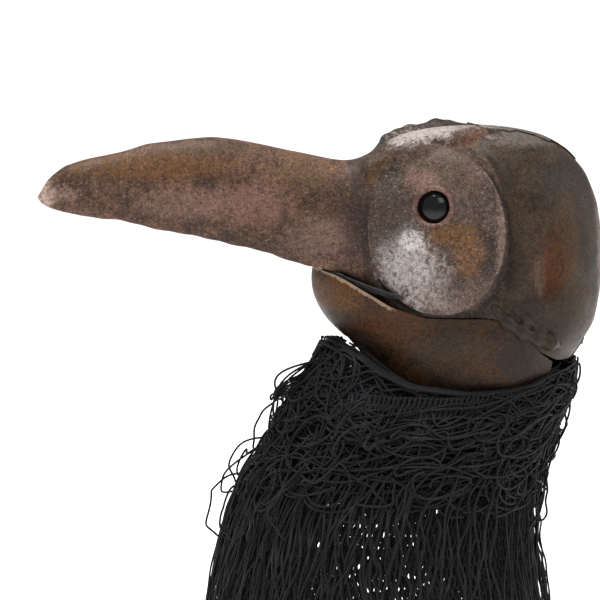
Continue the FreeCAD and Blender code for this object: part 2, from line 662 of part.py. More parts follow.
keep("headband", cut("headband_cut", cut("band_ring", band_outer, band_inner), strap_rivets))
pad_inner = oval_prism("pad_inner", "sizes.band_half_width - sizes.band_thick - sizes.band_pad_thick",
                       "sizes.band_half_length - sizes.band_thick - sizes.band_pad_thick",
                       "sizes.band_middle", "sizes.band_bottom", "sizes.band_height")
pad_ring = cut("pad_ring", band_inner, pad_inner)
for pad, start in (("brow", "sizes.band_middle - sizes.pad_reach - sizes.side_reach"),
                   ("nape", "sizes.band_middle + sizes.pad_reach")):
    pad_box = box(f"{pad}_pad_box", "-sizes.side_reach", start,
                  "sizes.band_bottom + sizes.pad_inset", "2 * sizes.side_reach", "sizes.side_reach",
                  "sizes.band_height - 2 * sizes.pad_inset")
    keep(f"{pad}_pad", common(f"{pad}_pad_common", pad_ring, pad_box))


def arch_prism(name, along, half_span, rise, width):
    """Elliptical cylinder on its side, centred at the height where the straps spring."""
    ring = doc.addObject("Part::Ellipse", f"{name}_ring")
    if along == "Y":
        ring.Placement = App.Placement(Vector(), App.Rotation(Vector(0, 1, 0), Vector(0, 0, 1),
                                                              Vector(1, 0, 0), "ZXY"))
        bind(ring, Placement__Base__x=f"-({width}) / 2", Placement__Base__y="sizes.band_middle")
    else:
        ring.Placement = App.Placement(Vector(), App.Rotation(Vector(1, 0, 0), Vector(0, 0, 1),
                                                              Vector(0, -1, 0), "ZXY"))
        bind(ring, Placement__Base__y=f"sizes.band_middle - ({width}) / 2")
    bind(ring, MajorRadius=half_span, MinorRadius=rise, Placement__Base__z="sizes.strap_spring_z")
    prism = doc.addObject("Part::Extrusion", name)
    prism.Base, prism.DirMode, prism.Solid = ring, "Custom", True
    prism.Dir = Vector(1, 0, 0) if along == "Y" else Vector(0, 1, 0)
    bind(prism, LengthFwd=width)
    return prism


above_spring = box("above_spring", "-sizes.side_reach", "-sizes.side_reach", "sizes.strap_spring_z",
                   "2 * sizes.side_reach", "2 * sizes.side_reach", "sizes.side_reach")
for strap, along, half, rise in (("long", "Y", "sizes.band_half_length", "sizes.long_strap_rise"),
                                 ("cross", "X", "sizes.band_half_width", "sizes.cross_strap_rise")):
    inner_half = f"{half} + sizes.strap_gap"
    outer = arch_prism(f"{strap}_strap_outer", along, f"{inner_half} + sizes.strap_thick",
                       f"{rise} + sizes.strap_thick", "sizes.strap_width")
    inner = arch_prism(f"{strap}_strap_inner", along, inner_half, rise, "sizes.strap_width")
    arch = common(f"{strap}_crown_common", cut(f"{strap}_strap_arch", outer, inner), above_spring)
    legs = []
    for leg, near in (("first", f"{inner_half}"), ("second", f"-({inner_half}) - sizes.strap_thick")):
        low = "sizes.strap_spring_z - sizes.strap_leg"
        if along == "Y":
            legs.append(box(f"{strap}_{leg}_leg", "-sizes.strap_width / 2",
                            f"sizes.band_middle + {near}", low, "sizes.strap_width",
                            "sizes.strap_thick", "sizes.strap_leg"))
        else:
            legs.append(box(f"{strap}_{leg}_leg", near, "sizes.band_middle - sizes.strap_width / 2",
                            low, "sizes.strap_thick", "sizes.strap_width", "sizes.strap_leg"))
    keep(f"{strap}_crown_strap", cut(f"{strap}_crown_cut", fuse(f"{strap}_crown_fuse", arch, *legs),
                                     strap_rivets))
pad_roof_long = arch_prism("pad_roof_long", "Y", "sizes.band_half_length + sizes.strap_gap",
                           "sizes.long_strap_rise", "3 * sizes.crown_pad_radius")
pad_roof_cross = arch_prism("pad_roof_cross", "X", "sizes.band_half_width + sizes.strap_gap",
                            "sizes.cross_strap_rise", "3 * sizes.crown_pad_radius")
pad_puck = primitive("Part::Cylinder", "pad_puck", Radius="sizes.crown_pad_radius",
                     Height="sizes.crown_pad_radius")
keep("crown_pad", common("crown_pad_common", pad_puck, pad_roof_long, pad_roof_cross))

for corner, side, way in (("front_left", 1, -1), ("front_right", -1, -1),
                          ("rear_left", 1, 1), ("rear_right", -1, 1)):
    lean = math.radians(block_angle)
    heading = math.degrees(math.atan2(way * math.cos(lean), side * math.sin(lean)))
    block = doc.addObject("Part::Box", f"{corner}_block_blank")
    turn = App.Rotation(Vector(0, 0, 1), heading)
    block.Placement = App.Placement(turn.multVec(Vector(block_start, -block_width / 2, 0))
                                    + Vector(0, band_middle, band_bottom + 1), turn)
    bind(block, Length="sizes.block_start", Width="sizes.block_width", Height="sizes.block_height")
    inside = common(f"{corner}_block_inside", block, form_inner)
    keep(f"{corner}_foam_block", cut(f"{corner}_block_cut", inside, band_outer))

# ------------------------------------------------------------------------------ chin sling
def sling_prism(name, half_width, drop, width):
    ring = doc.addObject("Part::Ellipse", f"{name}_ring")
    ring.Placement = App.Placement(Vector(), App.Rotation(Vector(1, 0, 0), Vector(0, 0, 1),
                                                          Vector(0, -1, 0), "ZXY"))
    bind(ring, MajorRadius=half_width, MinorRadius=drop, Placement__Base__y=f"sizes.sling_y - ({width}) / 2",
         Placement__Base__z="sizes.sling_top")
    prism = doc.addObject("Part::Extrusion", name)
    prism.Base, prism.DirMode, prism.Dir, prism.Solid = ring, "Custom", Vector(0, 1, 0), True
    bind(prism, LengthFwd=width)
    return prism


sling_outer = sling_prism("sling_outer", "sizes.sling_half_width", "sizes.sling_drop",
                          "sizes.sling_width")
sling_inner = sling_prism("sling_inner", "sizes.sling_half_width - sizes.sling_thick",
                          "sizes.sling_drop - sizes.sling_thick", "sizes.sling_width")
below_sling = box("below_sling", "-sizes.side_reach", "-sizes.side_reach",
                  "sizes.sling_top - sizes.side_reach", "2 * sizes.side_reach",
                  "2 * sizes.side_reach", "sizes.side_reach")
sling_rivet_left = x_cylinder("sling_rivet_left", "sizes.sling_half_width - 5", "sizes.sling_y",
                              "sizes.sling_rivet_z", "sizes.sling_rivet_radius",
                              "sizes.sling_rivet_length")
sling_rivet_pair = doc.addObject("Part::Compound", "sling_rivet_pair")
sling_rivet_pair.Links = [sling_rivet_left, mirrored("sling_rivet_right", sling_rivet_left)]
keep("sling_rivets", sling_rivet_pair)
sling_strip = common("chin_sling_common", cut("sling_arch", sling_outer, sling_inner), below_sling,
                     form_inner)
keep("chin_sling", cut("chin_sling_cut", sling_strip, sling_rivet_pair))
chin_box = box("chin_box", "-sizes.chin_pad_half_width", "sizes.sling_y - sizes.sling_width / 2 - 3",
               "sizes.sling_top - sizes.sling_drop", "2 * sizes.chin_pad_half_width",
               "sizes.sling_width + 6", "sizes.chin_pad_thick + sizes.sling_thick")
chin_room = sling_prism("chin_room", "sizes.sling_half_width - sizes.sling_thick",
                        "sizes.sling_drop - sizes.sling_thick", "sizes.sling_width + 6")
keep("chin_pad", common("chin_pad_common", chin_box, chin_room))

# ------------------------------------------------------------------------------ jaw elastics
elastic = doc.addObject("Part::Box", "elastic_band")
elastic.Placement = App.Placement(Vector(), App.Rotation(Vector(0, 1, 0), elastic_lean))
bind(elastic, Length="sizes.elastic_thick", Width="sizes.elastic_width",
     Height="sizes.elastic_top - sizes.elastic_bottom", Placement__Base__x="sizes.elastic_x",
     Placement__Base__y="sizes.elastic_y - sizes.elastic_width / 2",
     Placement__Base__z="sizes.elastic_bottom")
size("elastic_lean_run", math.tan(math.radians(elastic_lean)) * (elastic_top - elastic_bottom))
size("upper_button_sink", 2)
size("lower_button_sink", 1.5)
upper_button = x_cylinder("upper_button", "sizes.elastic_x + sizes.elastic_lean_run - sizes.upper_button_sink",
                          "sizes.elastic_y",
                          "sizes.elastic_top - sizes.button_inset", "sizes.button_radius",
                          "sizes.button_length")
lower_button = x_cylinder("lower_button", "sizes.elastic_x - sizes.lower_button_sink", "sizes.elastic_y",
                          "sizes.elastic_bottom + sizes.button_inset", "sizes.button_radius",
                          "sizes.button_length")
buttons = {}
for row, button in (("cranium", upper_button), ("jaw", lower_button)):
    buttons[row] = doc.addObject("Part::Compound", f"{row}_button_pair")
    buttons[row].Links = [button, mirrored(f"{row}_button_right", button)]
    keep(f"{row}_elastic_buttons", buttons[row])
keep_pair("jaw_elastic", cut("elastic_lower_cut", cut("elastic_upper_cut", elastic, upper_button),
                             lower_button))

# ------------------------------------------------------------------------------ drilled shells
keep("cranium_shell", drilled("cranium_drilling", cranium_blank, screw_shaft,
                              mirrored("right_screw_shaft", screw_shaft), *tab_rivet_pair.Links,
                              *buttons["cranium"].Links))
keep("lower_jaw", drilled("jaw_drilling", jaw_body, hinge_bore, *sling_rivet_pair.Links,
                          *buttons["jaw"].Links))

# ------------------------------------------------------------------------------ drape and ruff
drape_outer = ring_loft("drape_outer", "drape", DRAPE_LEVELS, "0")
drape_inner = ring_loft("drape_inner", "drape", DRAPE_LEVELS, "-sizes.drape_thick")
drape_prism = side_prism("drape_prism", "drape_area")
drape_skin = cut("drape_skin", drape_outer, drape_inner)
keep("knit_drape", common("knit_drape_common", drape_skin, drape_prism))
ruff_outer = ring_loft("ruff_outer", "drape", DRAPE_LEVELS, "sizes.ruff_thick")
ruff_inner = ring_loft("ruff_inner", "drape", DRAPE_LEVELS, "sizes.skin_gap")
ruff_skin = cut("ruff_skin", ruff_outer, ruff_inner)
ruff_slab = box("ruff_slab", "-sizes.side_reach", "-2 * sizes.side_reach", "sizes.ruff_bottom",
                "2 * sizes.side_reach", "4 * sizes.side_reach", "sizes.ruff_height")
keep("yarn_ruff", common("yarn_ruff_common", ruff_skin, drape_prism, ruff_slab))

doc.recompute()

# ------------------------------------------------------------------------------ checks and export
failed = [o.Name for o in doc.Objects if any(s in ("Invalid", "Error") for s in o.State)]
if failed:
    raise SystemExit(f"failed objects: {failed}")
os.makedirs("parts", exist_ok=True)
for label, thing in parts.items():
    shape = thing.Shape
    if shape.isNull() or not shape.isValid() or not shape.Solids:
        raise SystemExit(f"{label} has no valid solid")
    bounds = shape.BoundBox
    print(f"{label:24s} solids {len(shape.Solids)} volume {shape.Volume:10.0f} "
          f"X {bounds.XMin:7.1f} {bounds.XMax:7.1f} Y {bounds.YMin:7.1f} {bounds.YMax:7.1f} "
          f"Z {bounds.ZMin:7.1f} {bounds.ZMax:7.1f}")
    shape.exportStep(f"parts/{label}.step")
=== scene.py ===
import bmesh
import bpy
import math
import numpy as np
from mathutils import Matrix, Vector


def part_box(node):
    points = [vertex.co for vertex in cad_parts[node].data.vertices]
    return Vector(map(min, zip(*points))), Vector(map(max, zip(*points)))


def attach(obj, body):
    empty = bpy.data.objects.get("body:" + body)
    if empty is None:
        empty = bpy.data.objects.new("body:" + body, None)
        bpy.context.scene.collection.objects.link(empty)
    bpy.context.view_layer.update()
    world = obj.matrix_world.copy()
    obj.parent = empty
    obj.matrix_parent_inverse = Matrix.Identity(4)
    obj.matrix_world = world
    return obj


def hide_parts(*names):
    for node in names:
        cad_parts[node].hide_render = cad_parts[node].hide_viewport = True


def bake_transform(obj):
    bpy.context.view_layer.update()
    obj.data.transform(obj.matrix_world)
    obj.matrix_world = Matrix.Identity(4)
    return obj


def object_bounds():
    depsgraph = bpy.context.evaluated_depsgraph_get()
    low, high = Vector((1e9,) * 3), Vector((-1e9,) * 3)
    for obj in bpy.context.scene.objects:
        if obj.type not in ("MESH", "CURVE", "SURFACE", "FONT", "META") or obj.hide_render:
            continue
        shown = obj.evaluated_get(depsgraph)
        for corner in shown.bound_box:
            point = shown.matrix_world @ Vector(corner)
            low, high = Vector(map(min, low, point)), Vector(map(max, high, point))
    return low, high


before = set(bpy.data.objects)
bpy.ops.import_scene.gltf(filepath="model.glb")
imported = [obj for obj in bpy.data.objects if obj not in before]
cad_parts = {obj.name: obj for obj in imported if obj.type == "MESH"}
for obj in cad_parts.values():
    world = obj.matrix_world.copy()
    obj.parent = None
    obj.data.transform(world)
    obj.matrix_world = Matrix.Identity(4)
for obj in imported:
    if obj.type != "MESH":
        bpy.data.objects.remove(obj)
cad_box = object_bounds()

import openvdb
from mathutils import Matrix, Vector

# ---------------------------------------------------------------- camera, floor and light
# A long lens looks at the mask's own left side from slightly ahead and above.  The mask hangs over a
# plain pale floor in soft white studio light.
VIEW_AZIMUTH, VIEW_RISE, VIEW_DISTANCE, VIEW_WIDTH = 75.0, 8.0, 2.4, 0.66
VIEW_ACROSS, VIEW_UP = -0.198, -0.1375
azimuth, rise = math.radians(VIEW_AZIMUTH), math.radians(VIEW_RISE)
view_back = Vector((math.sin(azimuth) * math.cos(rise), -math.cos(azimuth) * math.cos(rise), math.sin(rise)))
view_right = Vector((math.cos(azimuth), math.sin(azimuth), 0))
view_up = view_back.cross(view_right)
view_middle = view_right * VIEW_ACROSS + view_up * VIEW_UP
camera_data = bpy.data.cameras.new("studio_camera")
camera_data.sensor_width = 36
camera_data.lens = VIEW_DISTANCE * camera_data.sensor_width / VIEW_WIDTH
camera_data.clip_end = 50


def add_piece(name, data):
    """Puts a mesh, a camera or a lamp in the scene as an object of its own."""
    thing = bpy.data.objects.new(name, data)
    bpy.context.collection.objects.link(thing)
    return thing


camera = add_piece("studio_camera", camera_data)
camera.matrix_world = Matrix.Translation(view_middle + view_back * VIEW_DISTANCE) @ Matrix(
    (view_right, view_up, view_back)).transposed().to_4x4()
bpy.context.scene.camera = camera
bpy.context.scene.view_settings.view_transform = "Standard"

FLOOR_Z = cad_box[0][2] - 0.002
floor_mesh = bpy.data.meshes.new("studio_floor")
floor_corners = [(x * 9, y * 9, FLOOR_Z) for x, y in ((-1, -1), (1, -1), (1, 1), (-1, 1))]
floor_mesh.from_pydata(floor_corners, [], [(0, 1, 2, 3)])
floor_paint = bpy.data.materials.new("studio_floor")
floor_paint.use_nodes = True
shader = floor_paint.node_tree.nodes["Principled BSDF"]
shader.inputs["Base Color"].default_value = (0.93, 0.93, 0.93, 1)
shader.inputs["Roughness"].default_value = 0.9
shader.inputs["Emission Color"].default_value = (1, 1, 1, 1)
shader.inputs["Emission Strength"].default_value = 0.8
floor_mesh.materials.append(floor_paint)
add_piece("studio_floor", floor_mesh)

world = bpy.data.worlds.new("studio_white")
world.use_nodes = True
world_tree = world.node_tree
backdrop = world_tree.nodes.new("ShaderNodeBackground")
for sky, strength in ((world_tree.nodes["Background"], 0.42), (backdrop, 1.1)):
    sky.inputs["Color"].default_value = (1, 1, 1, 1)
    sky.inputs["Strength"].default_value = strength
seen, either = world_tree.nodes.new("ShaderNodeLightPath"), world_tree.nodes.new("ShaderNodeMixShader")
world_tree.links.new(seen.outputs["Is Camera Ray"], either.inputs[0])
world_tree.links.new(world_tree.nodes["Background"].outputs[0], either.inputs[1])
world_tree.links.new(backdrop.outputs[0], either.inputs[2])
world_tree.links.new(either.outputs[0], world_tree.nodes["World Output"].inputs[0])
bpy.context.scene.world = world


def soft_light(name, place, aim, side, power):
    data = bpy.data.lights.new(name, "AREA")
    data.shape, data.size, data.energy = "SQUARE", side, power
    lamp = add_piece(name, data)
    lamp.location = place
    lamp.rotation_euler = (Vector(aim) - Vector(place)).to_track_quat("-Z", "Y").to_euler()


soft_light("top_light", (0.1, -0.5, 1.7), (0, -0.1, 0), side=1.1, power=46)
soft_light("key_light", (1.5, -0.2, 1.2), (0, -0.1, -0.05), side=0.7, power=6)
soft_light("back_light", (0.3, 1.9, 0.7), (0, 0, -0.1), side=1.2, power=12)

# ---------------------------------------------------------------- cranium shell
# The skull of the bird: a wide papier-mache bowl cast over a form, about 3 mm thick, painted in
# brown and ochre layers.  The whole head is sculpted as one closed form, in millimetres, and each
# shell is cut from that skin, so that neighbouring pieces meet along their seams.
SKIN_STEP = 2.0
SKIN_LOW, SKIN_HIGH = (-128, -500, -240), (128, 152, 76)
form_luck = np.random.default_rng(7)


def smooth_step(low, high, value):
    share = np.clip((value - low) / (high - low), 0, 1)
    return share * share * (3 - 2 * share)


def smooth_curve(places, values, soften):
    """A rounded line through points, as a function."""
    fine = np.arange(places[0] - 4 * soften, places[-1] + 4 * soften, 0.5)
    line = np.interp(fine, places, values)
    kernel = np.exp(-0.5 * (np.arange(-3 * soften, 3 * soften + 0.5, 0.5) / soften) ** 2)
    padded = np.pad(line, len(kernel) // 2, mode="edge")
    line = np.convolve(padded, kernel / kernel.sum(), mode="valid")[: len(fine)]
    return lambda at: np.interp(at, fine, line)


def join_softly(first, second, reach):
    share = np.clip(0.5 + 0.5 * (second - first) / reach, 0, 1)
    return second * (1 - share) + first * share - reach * share * (1 - share)


def keep_softly(first, second, reach):
    return -join_softly(-first, -second, reach)


def bump(at, middle, spread):
    """1 at the middle, fading out over the spread on each axis."""
    total = sum(((a - m) / s) ** 2 for a, m, s in zip(at, middle, spread))
    return np.exp(-total)


def roll(at, line):
    """Distance to a chain of rounded rods given as (x, y, z, radius) points."""
    best = None
    for (x0, y0, z0, r0), (x1, y1, z1, r1) in zip(line, line[1:]):
        way = np.array((x1 - x0, y1 - y0, z1 - z0))
        share = ((at[0] - x0) * way[0] + (at[1] - y0) * way[1] + (at[2] - z0) * way[2]) / (way @ way)
        share = np.clip(share, 0, 1)
        away = np.sqrt((at[0] - x0 - share * way[0]) ** 2 + (at[1] - y0 - share * way[1]) ** 2
                       + (at[2] - z0 - share * way[2]) ** 2) - (r0 + share * (r1 - r0))
        best = away if best is None else join_softly(best, away, 4)
    return best


HEAD_HEIGHTS = (-260, -228, -195, -165, -130, -80, -30, 5, 30, 46, 54, 62)
HEAD_LENGTHS = (80, 102, 120, 131.5, 138, 138.5, 133, 122, 102, 74, 30, -60)
HEAD_RATIOS = (0.95, 0.94, 0.87, 0.84, 0.82, 0.82, 0.815, 0.82, 0.83, 0.81, 0.8, 0.8)
HEAD_MIDDLES = (-20, -18, -11, -3.5, -0.5, -0.5, -1.5, -4.5, -10, -12, -14, -14)
head_square = smooth_curve(HEAD_HEIGHTS, [v * abs(v) for v in HEAD_LENGTHS], 6)
head_ratio = smooth_curve(HEAD_HEIGHTS, HEAD_RATIOS, 8)
head_middle = smooth_curve(HEAD_HEIGHTS, HEAD_MIDDLES, 8)


def skull(at):
    x, y, z = at
    square, ratio, middle = head_square(z), head_ratio(z), head_middle(z)
    slope = (head_square(z + 1) - head_square(z - 1)) / 2
    field = (x / ratio) ** 2 + (y - middle) ** 2 - square
    steep = np.sqrt((2 * x / ratio ** 2) ** 2 + (2 * (y - middle)) ** 2 + slope ** 2 + 900)
    return field / steep


BEAK_PLACES = (-490, -487, -482, -474, -460, -440, -405, -372, -329, -301, -279, -242, -205, -168, -143, -118)
BEAK_TOPS = (-14, -9, -1, 8, 18, 24, 33, 42, 45, 45.5, 43, 37, 30, 22, 18, 16)
BEAK_BOTTOMS = (-14, -18, -22.5, -26, -30, -33.5, -38.5, -46, -55.5, -61, -67.5, -77, -90, -99, -104, -107)
BEAK_WIDTHS = (0, 3, 6, 9, 13, 17, 21, 24, 28, 30.5, 32, 35, 38, 43, 47, 50)
beak_top = smooth_curve(BEAK_PLACES, BEAK_TOPS, 2.5)
beak_bottom = smooth_curve(BEAK_PLACES, BEAK_BOTTOMS, 2.5)
beak_width = smooth_curve(BEAK_PLACES, BEAK_WIDTHS, 2.5)
BEAK_POWER, BEAK_TIP, BEAK_ROOT = 2.35, -489, -88


def beak(at):
    x, y, z = at
    top, bottom, width = beak_top(y), beak_bottom(y), np.maximum(beak_width(y), 0.6)
    middle = bottom + 0.42 * (top - bottom)
    tall = np.where(z > middle, np.maximum(top - middle, 0.5), np.maximum(1.5 * (middle - bottom), 0.5))
    across, up = np.abs(x) / width, np.abs(z - middle) / tall
    n = BEAK_POWER
    field = (across ** n + up ** n) ** (1 / n) + 1e-4
    steep = field ** (1 - n) * np.sqrt((across ** (n - 1) / width) ** 2 + (up ** (n - 1) / tall) ** 2)
    side = (field - 1) / np.maximum(steep, 0.004)
    side = np.where(y < BEAK_TIP, np.maximum(side, BEAK_TIP - y), side)
    side = np.maximum(side, y - BEAK_ROOT)
    ripple = 0.6 * np.sin(y * 0.09) + 0.35 * np.sin(y * 0.23 + 1)
    return keep_softly(side, bottom + ripple * smooth_step(-470, -420, y) - z, 3.5)


LEFT_BROW = [(29, -130, 15, 6), (41, -108, 26, 8), (48, -82, 36, 9), (53, -52, 44, 9.5), (52, -24, 47, 9),
             (45, 0, 46, 6)]
RIGHT_BROW = [(-30, -110, 14, 8), (-36, -99, 26, 8), (-42, -93, 35, 8), (-48, -80, 41, 7),
              (-52, -64, 45, 8.5), (-53, -48, 46, 8), (-52, -34, 50, 9.5), (-50, -20, 50, 8), (-44, 2, 47, 6)]
EYE_SPOT = np.array((88.0, -83.0, -25.0))
LUMPS = [(wave, strength, form_luck.uniform(0, 6, 3)) for wave, strength in ((0.035, 1.5), (0.08, 0.55))]


def disc_ring(at):
    """1 on the cheek disc's edge, less inside it."""
    return np.sqrt(((at[1] + 77) / 66) ** 2 + ((at[2] + 50) / 89) ** 2)


def upper_head(at):
    x, y, z = at
    form = skull(at)
    form = join_softly(form, roll(at, LEFT_BROW), 11)
    form = join_softly(form, roll(at, RIGHT_BROW), 11)
    whole = join_softly(form, beak(at), 34)
    side = np.abs(x)
    # trough behind the cheek discs, the pressed dent behind the left one, soft hand-made unevenness
    ring = disc_ring(at)
    behind = smooth_step(-75, -25, y)
    whole = whole + 5.0 * np.exp(-((ring - 1.14) / 0.09) ** 2) * behind * smooth_step(40, 70, side)
    whole = whole + 1.8 * np.exp(-((ring - 1.03) / 0.035) ** 2) * smooth_step(40, 60, side)
    whole = whole + 7.0 * bump((side, y, z), (112, 38, -98), (40, 13, 26))
    whole = whole - 3.0 * bump((side, y, z), (105, 62, -92), (40, 20, 40))
    lumps = np.zeros_like(whole)
    for wave, strength, turn in LUMPS:
        crossed = np.sin(wave * (x + 0.6 * z) + turn[0]) * np.sin(wave * (y - 0.4 * x) + turn[1])
        lumps = lumps + strength * (crossed + 0.7 * np.sin(wave * 1.7 * (z + 0.5 * y) + turn[2]))
    return whole + lumps * 0.6


def cast(field_of, low, high):
    """Turns a sculpted field into one welded triangle skin, in millimetres."""
    axes = [np.arange(a, b + SKIN_STEP, SKIN_STEP) for a, b in zip(low, high)]
    at = (axes[0][:, None, None], axes[1][None, :, None], axes[2][None, None, :])
    values = np.clip(field_of(at), -6, 6).astype(np.float32)
    grid = openvdb.FloatGrid(6.0)
    grid.copyFromArray(np.ascontiguousarray(values))
    points, quads = grid.convertToQuads(0.0)
    points = points * SKIN_STEP + np.array([a[0] for a in axes])
    # point the faces outwards
    corners = points[quads]
    flat = np.cross(corners[:, 2] - corners[:, 0], corners[:, 3] - corners[:, 1])
    middle = corners.mean(axis=1)
    probe = flat / np.maximum(np.linalg.norm(flat, axis=1, keepdims=True), 1e-9)
    rising = field_of((middle + probe).T) - field_of((middle - probe).T)
    if np.median(rising) < 0:
        quads = quads[:, ::-1]
    triangles = np.concatenate((quads[:, [0, 1, 2]], quads[:, [0, 2, 3]]))
    return points, triangles


def cut_skin(points, triangles, inside):
    """Keeps the part of a skin where a value per point is above zero, with a clean cut edge."""
    keep = inside > 0
    count = keep[triangles].sum(axis=1)
    whole = triangles[count == 3]
    edges, new_faces = {}, []
    extra = []

    def crossing(a, b):
        key = (a, b) if a < b else (b, a)
        if key not in edges:
            share = inside[a] / (inside[a] - inside[b])
            edges[key] = len(points) + len(extra)
            extra.append(points[a] + share * (points[b] - points[a]))
        return edges[key]

    for corner in triangles[(count > 0) & (count < 3)]:
        ring = []
        for a, b in zip(corner, np.roll(corner, -1)):
            if keep[a]:
                ring.append(a)
            if keep[a] != keep[b]:
                ring.append(crossing(a, b))
        for k in range(1, len(ring) - 1):
            new_faces.append((ring[0], ring[k], ring[k + 1]))
    everything = np.concatenate((points, np.array(extra).reshape(-1, 3)))
    faces = np.concatenate((whole, np.array(new_faces, dtype=whole.dtype).reshape(-1, 3)))
    used, faces = np.unique(faces, return_inverse=True)
    return everything[used], faces.reshape(-1, 3)


def to_mesh(name, points, faces):
    """Makes a Blender piece from millimetre points."""
    mesh = bpy.data.meshes.new(name)
    mesh.from_pydata((np.asarray(points) / 1000).tolist(), [], np.asarray(faces).tolist())
    mesh.update()
    bm = bmesh.new()
    bm.from_mesh(mesh)
    bmesh.ops.remove_doubles(bm, verts=bm.verts, dist=0.00002)
    bm.to_mesh(mesh)
    bm.free()
    for polygon in mesh.polygons:
        polygon.use_smooth = True
    return add_piece(name, mesh)


def apply_all(thing):
    """Bakes a piece's modifiers into its mesh."""
    shape = bpy.data.meshes.new_from_object(thing.evaluated_get(bpy.context.evaluated_depsgraph_get()))
    thing.modifiers.clear()
    old = thing.data
    thing.data = shape
    bpy.data.meshes.remove(old)
    return thing


def thicken(thing, millimetres):
    """Gives a skin its wall on the inner side, with crisp cut edges."""
    wall = thing.modifiers.new("wall", "SOLIDIFY")
    wall.thickness, wall.offset, wall.use_even_offset = millimetres / 1000, -1, False
    apply_all(thing)
    thing.data.set_sharp_from_angle(angle=math.radians(50))
    return thing


def wear(thing, material, body, slot, *nodes):
    """Gives a piece its material, its body and the CAD pieces that it stands for; its finish slot is not
    used.
    """
    thing.data.materials.clear()
    thing.data.materials.append(material)
    if isinstance(body, str):
        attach(thing, body)
    else:
        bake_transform(thing)
    if nodes:
        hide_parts(*nodes)
    return thing


# where one shell ends and the next begins, as lines in the side view
seam_face = smooth_curve((-150, -141, -125, -90, -40, 0, 35, 60), (-22, -20, -12, -6, -6, -12, -26, -34), 3)
seam_mouth = smooth_curve((-230, -194, -165, -125, -91, -27, 0, 20, 34, 46, 61, 103, 150),
                          (-84, -95, -107.5, -133, -143, -143, -151, -165, -183, -189, -196, -201, -196), 3)
BROW_EDGE = 3.0

head_points, head_triangles = cast(upper_head, SKIN_LOW, SKIN_HIGH)
px, py, pz = head_points.T
above_mouth = pz - (seam_mouth(py) + 0.5)
behind_face = py - seam_face(pz)
left_brow_area = np.where(px > 0, BROW_EDGE - roll(head_points.T, LEFT_BROW), -5)
right_brow_area = np.where(px < 0, BROW_EDGE - roll(head_points.T, RIGHT_BROW), -5)
on_brow = np.maximum(left_brow_area, right_brow_area)
cranium_area = np.minimum(np.minimum(behind_face, above_mouth), -on_brow)
cranium = to_mesh("cranium_shell_skin", *cut_skin(head_points, head_triangles, cranium_area))


def colour(red, green, blue):
    """A paint colour from 0 to 255 values as the eye reads them, made linear."""
    shares = (red / 255, green / 255, blue / 255)
    return tuple(((v + 0.055) / 1.055) ** 2.4 if v > 10 / 255 else v / 12.92 for v in shares)


class Wiring:
    """Adds nodes to a tree and joins them up."""

    def __init__(self, tree):
        self.tree = tree

    def fill(self, node, **links):
        """Joins or sets a node's inputs by name, with _ for a space, or by number, as i0."""
        for key, value in links.items():
            numbered = key[0] == "i" and key[1:].isdigit()
            socket = node.inputs[int(key[1:])] if numbered else node.inputs[key.replace("_", " ")]
            if isinstance(value, bpy.types.NodeSocket):
                self.tree.links.new(value, socket)
            else:
                clear = socket.type == "RGBA" and len(value) == 3
                socket.default_value = (*value, 1) if clear else value

    def add(self, kind, settings=None, **links):
        node = self.tree.nodes.new(kind)
        for name, value in (settings or {}).items():
            setattr(node, name, value)
        self.fill(node, **links)
        return node

    def place(self):
        return self.add("ShaderNodeTexCoord").outputs["Object"]

    def noise(self, place, scale, detail, roughness=0.5, distortion=0.0):
        return self.add("ShaderNodeTexNoise", Vector=place, Scale=scale, Detail=detail, Roughness=roughness,
                        Distortion=distortion).outputs["Fac"]

    def bump(self, height, strength, distance):
        return self.add("ShaderNodeBump", Height=height, Strength=strength, Distance=distance).outputs[0]

    def maths(self, work, *values, clamp=False):
        node = self.add("ShaderNodeMath", {"operation": work, "use_clamp": clamp})
        self.fill(node, **{f"i{number}": value for number, value in enumerate(values)})
        return node.outputs[0]

    def spread(self, value, low, high, to_low=0.0, to_high=1.0):
        node = self.add("ShaderNodeMapRange", {"interpolation_type": "SMOOTHSTEP"}, Value=value, From_Min=low,
                        From_Max=high, To_Min=to_low, To_Max=to_high)
        return node.outputs["Result"]

    def blend(self, share, first, second):
        return self.add("ShaderNodeMix", {"data_type": "RGBA"}, i0=share, i6=first, i7=second).outputs[2]


def new_material(name):
    """An empty material, with its wiring and its shader."""
    material = bpy.data.materials.new(name)
    material.use_nodes = True
    return material, Wiring(material.node_tree), material.node_tree.nodes["Principled BSDF"]


def new_group(name, sockets):
    """A shader node group with named sockets: (name, type, is_output, default)."""
    tree = bpy.data.node_groups.new(name, "ShaderNodeTree")
    for label, kind, out, default in sockets:
        socket = tree.interface.new_socket(label, in_out="OUTPUT" if out else "INPUT", socket_type=kind)
        if default is not None:
            socket.default_value = default
    wiring = Wiring(tree)
    return tree, wiring, tree.nodes.new("NodeGroupInput"), tree.nodes.new("NodeGroupOutput")


# paint brushed over papier-mache: cloudy blotches, scumbled strokes, fine grain and paper fibres
brushed_paint, w, feed, out = new_group("brushed_paint", [
    ("Dark", "NodeSocketColor", False, (0.03, 0.02, 0.02, 1)),
    ("Middle", "NodeSocketColor", False, (0.1, 0.07, 0.05, 1)),
    ("Light", "NodeSocketColor", False, (0.3, 0.2, 0.15, 1)), ("Dry Brush", "NodeSocketFloat", False, 0.5),
    ("Color", "NodeSocketColor", True, None), ("Roughness", "NodeSocketFloat", True, None),
    ("Height", "NodeSocketFloat", True, None)])
place = w.place()
blotch = w.noise(place, 17.0, 6.0, 0.62, 0.6)
cloud = w.noise(place, 62.0, 7.0, 0.7, 0.9)
turned = w.add("ShaderNodeMapping", Vector=place, Rotation=(0.5, 0.3, 0.2), Scale=(1, 1, 3.2)).outputs[0]
stroke = w.noise(turned, 95.0, 6.0, 0.72, 1.4)
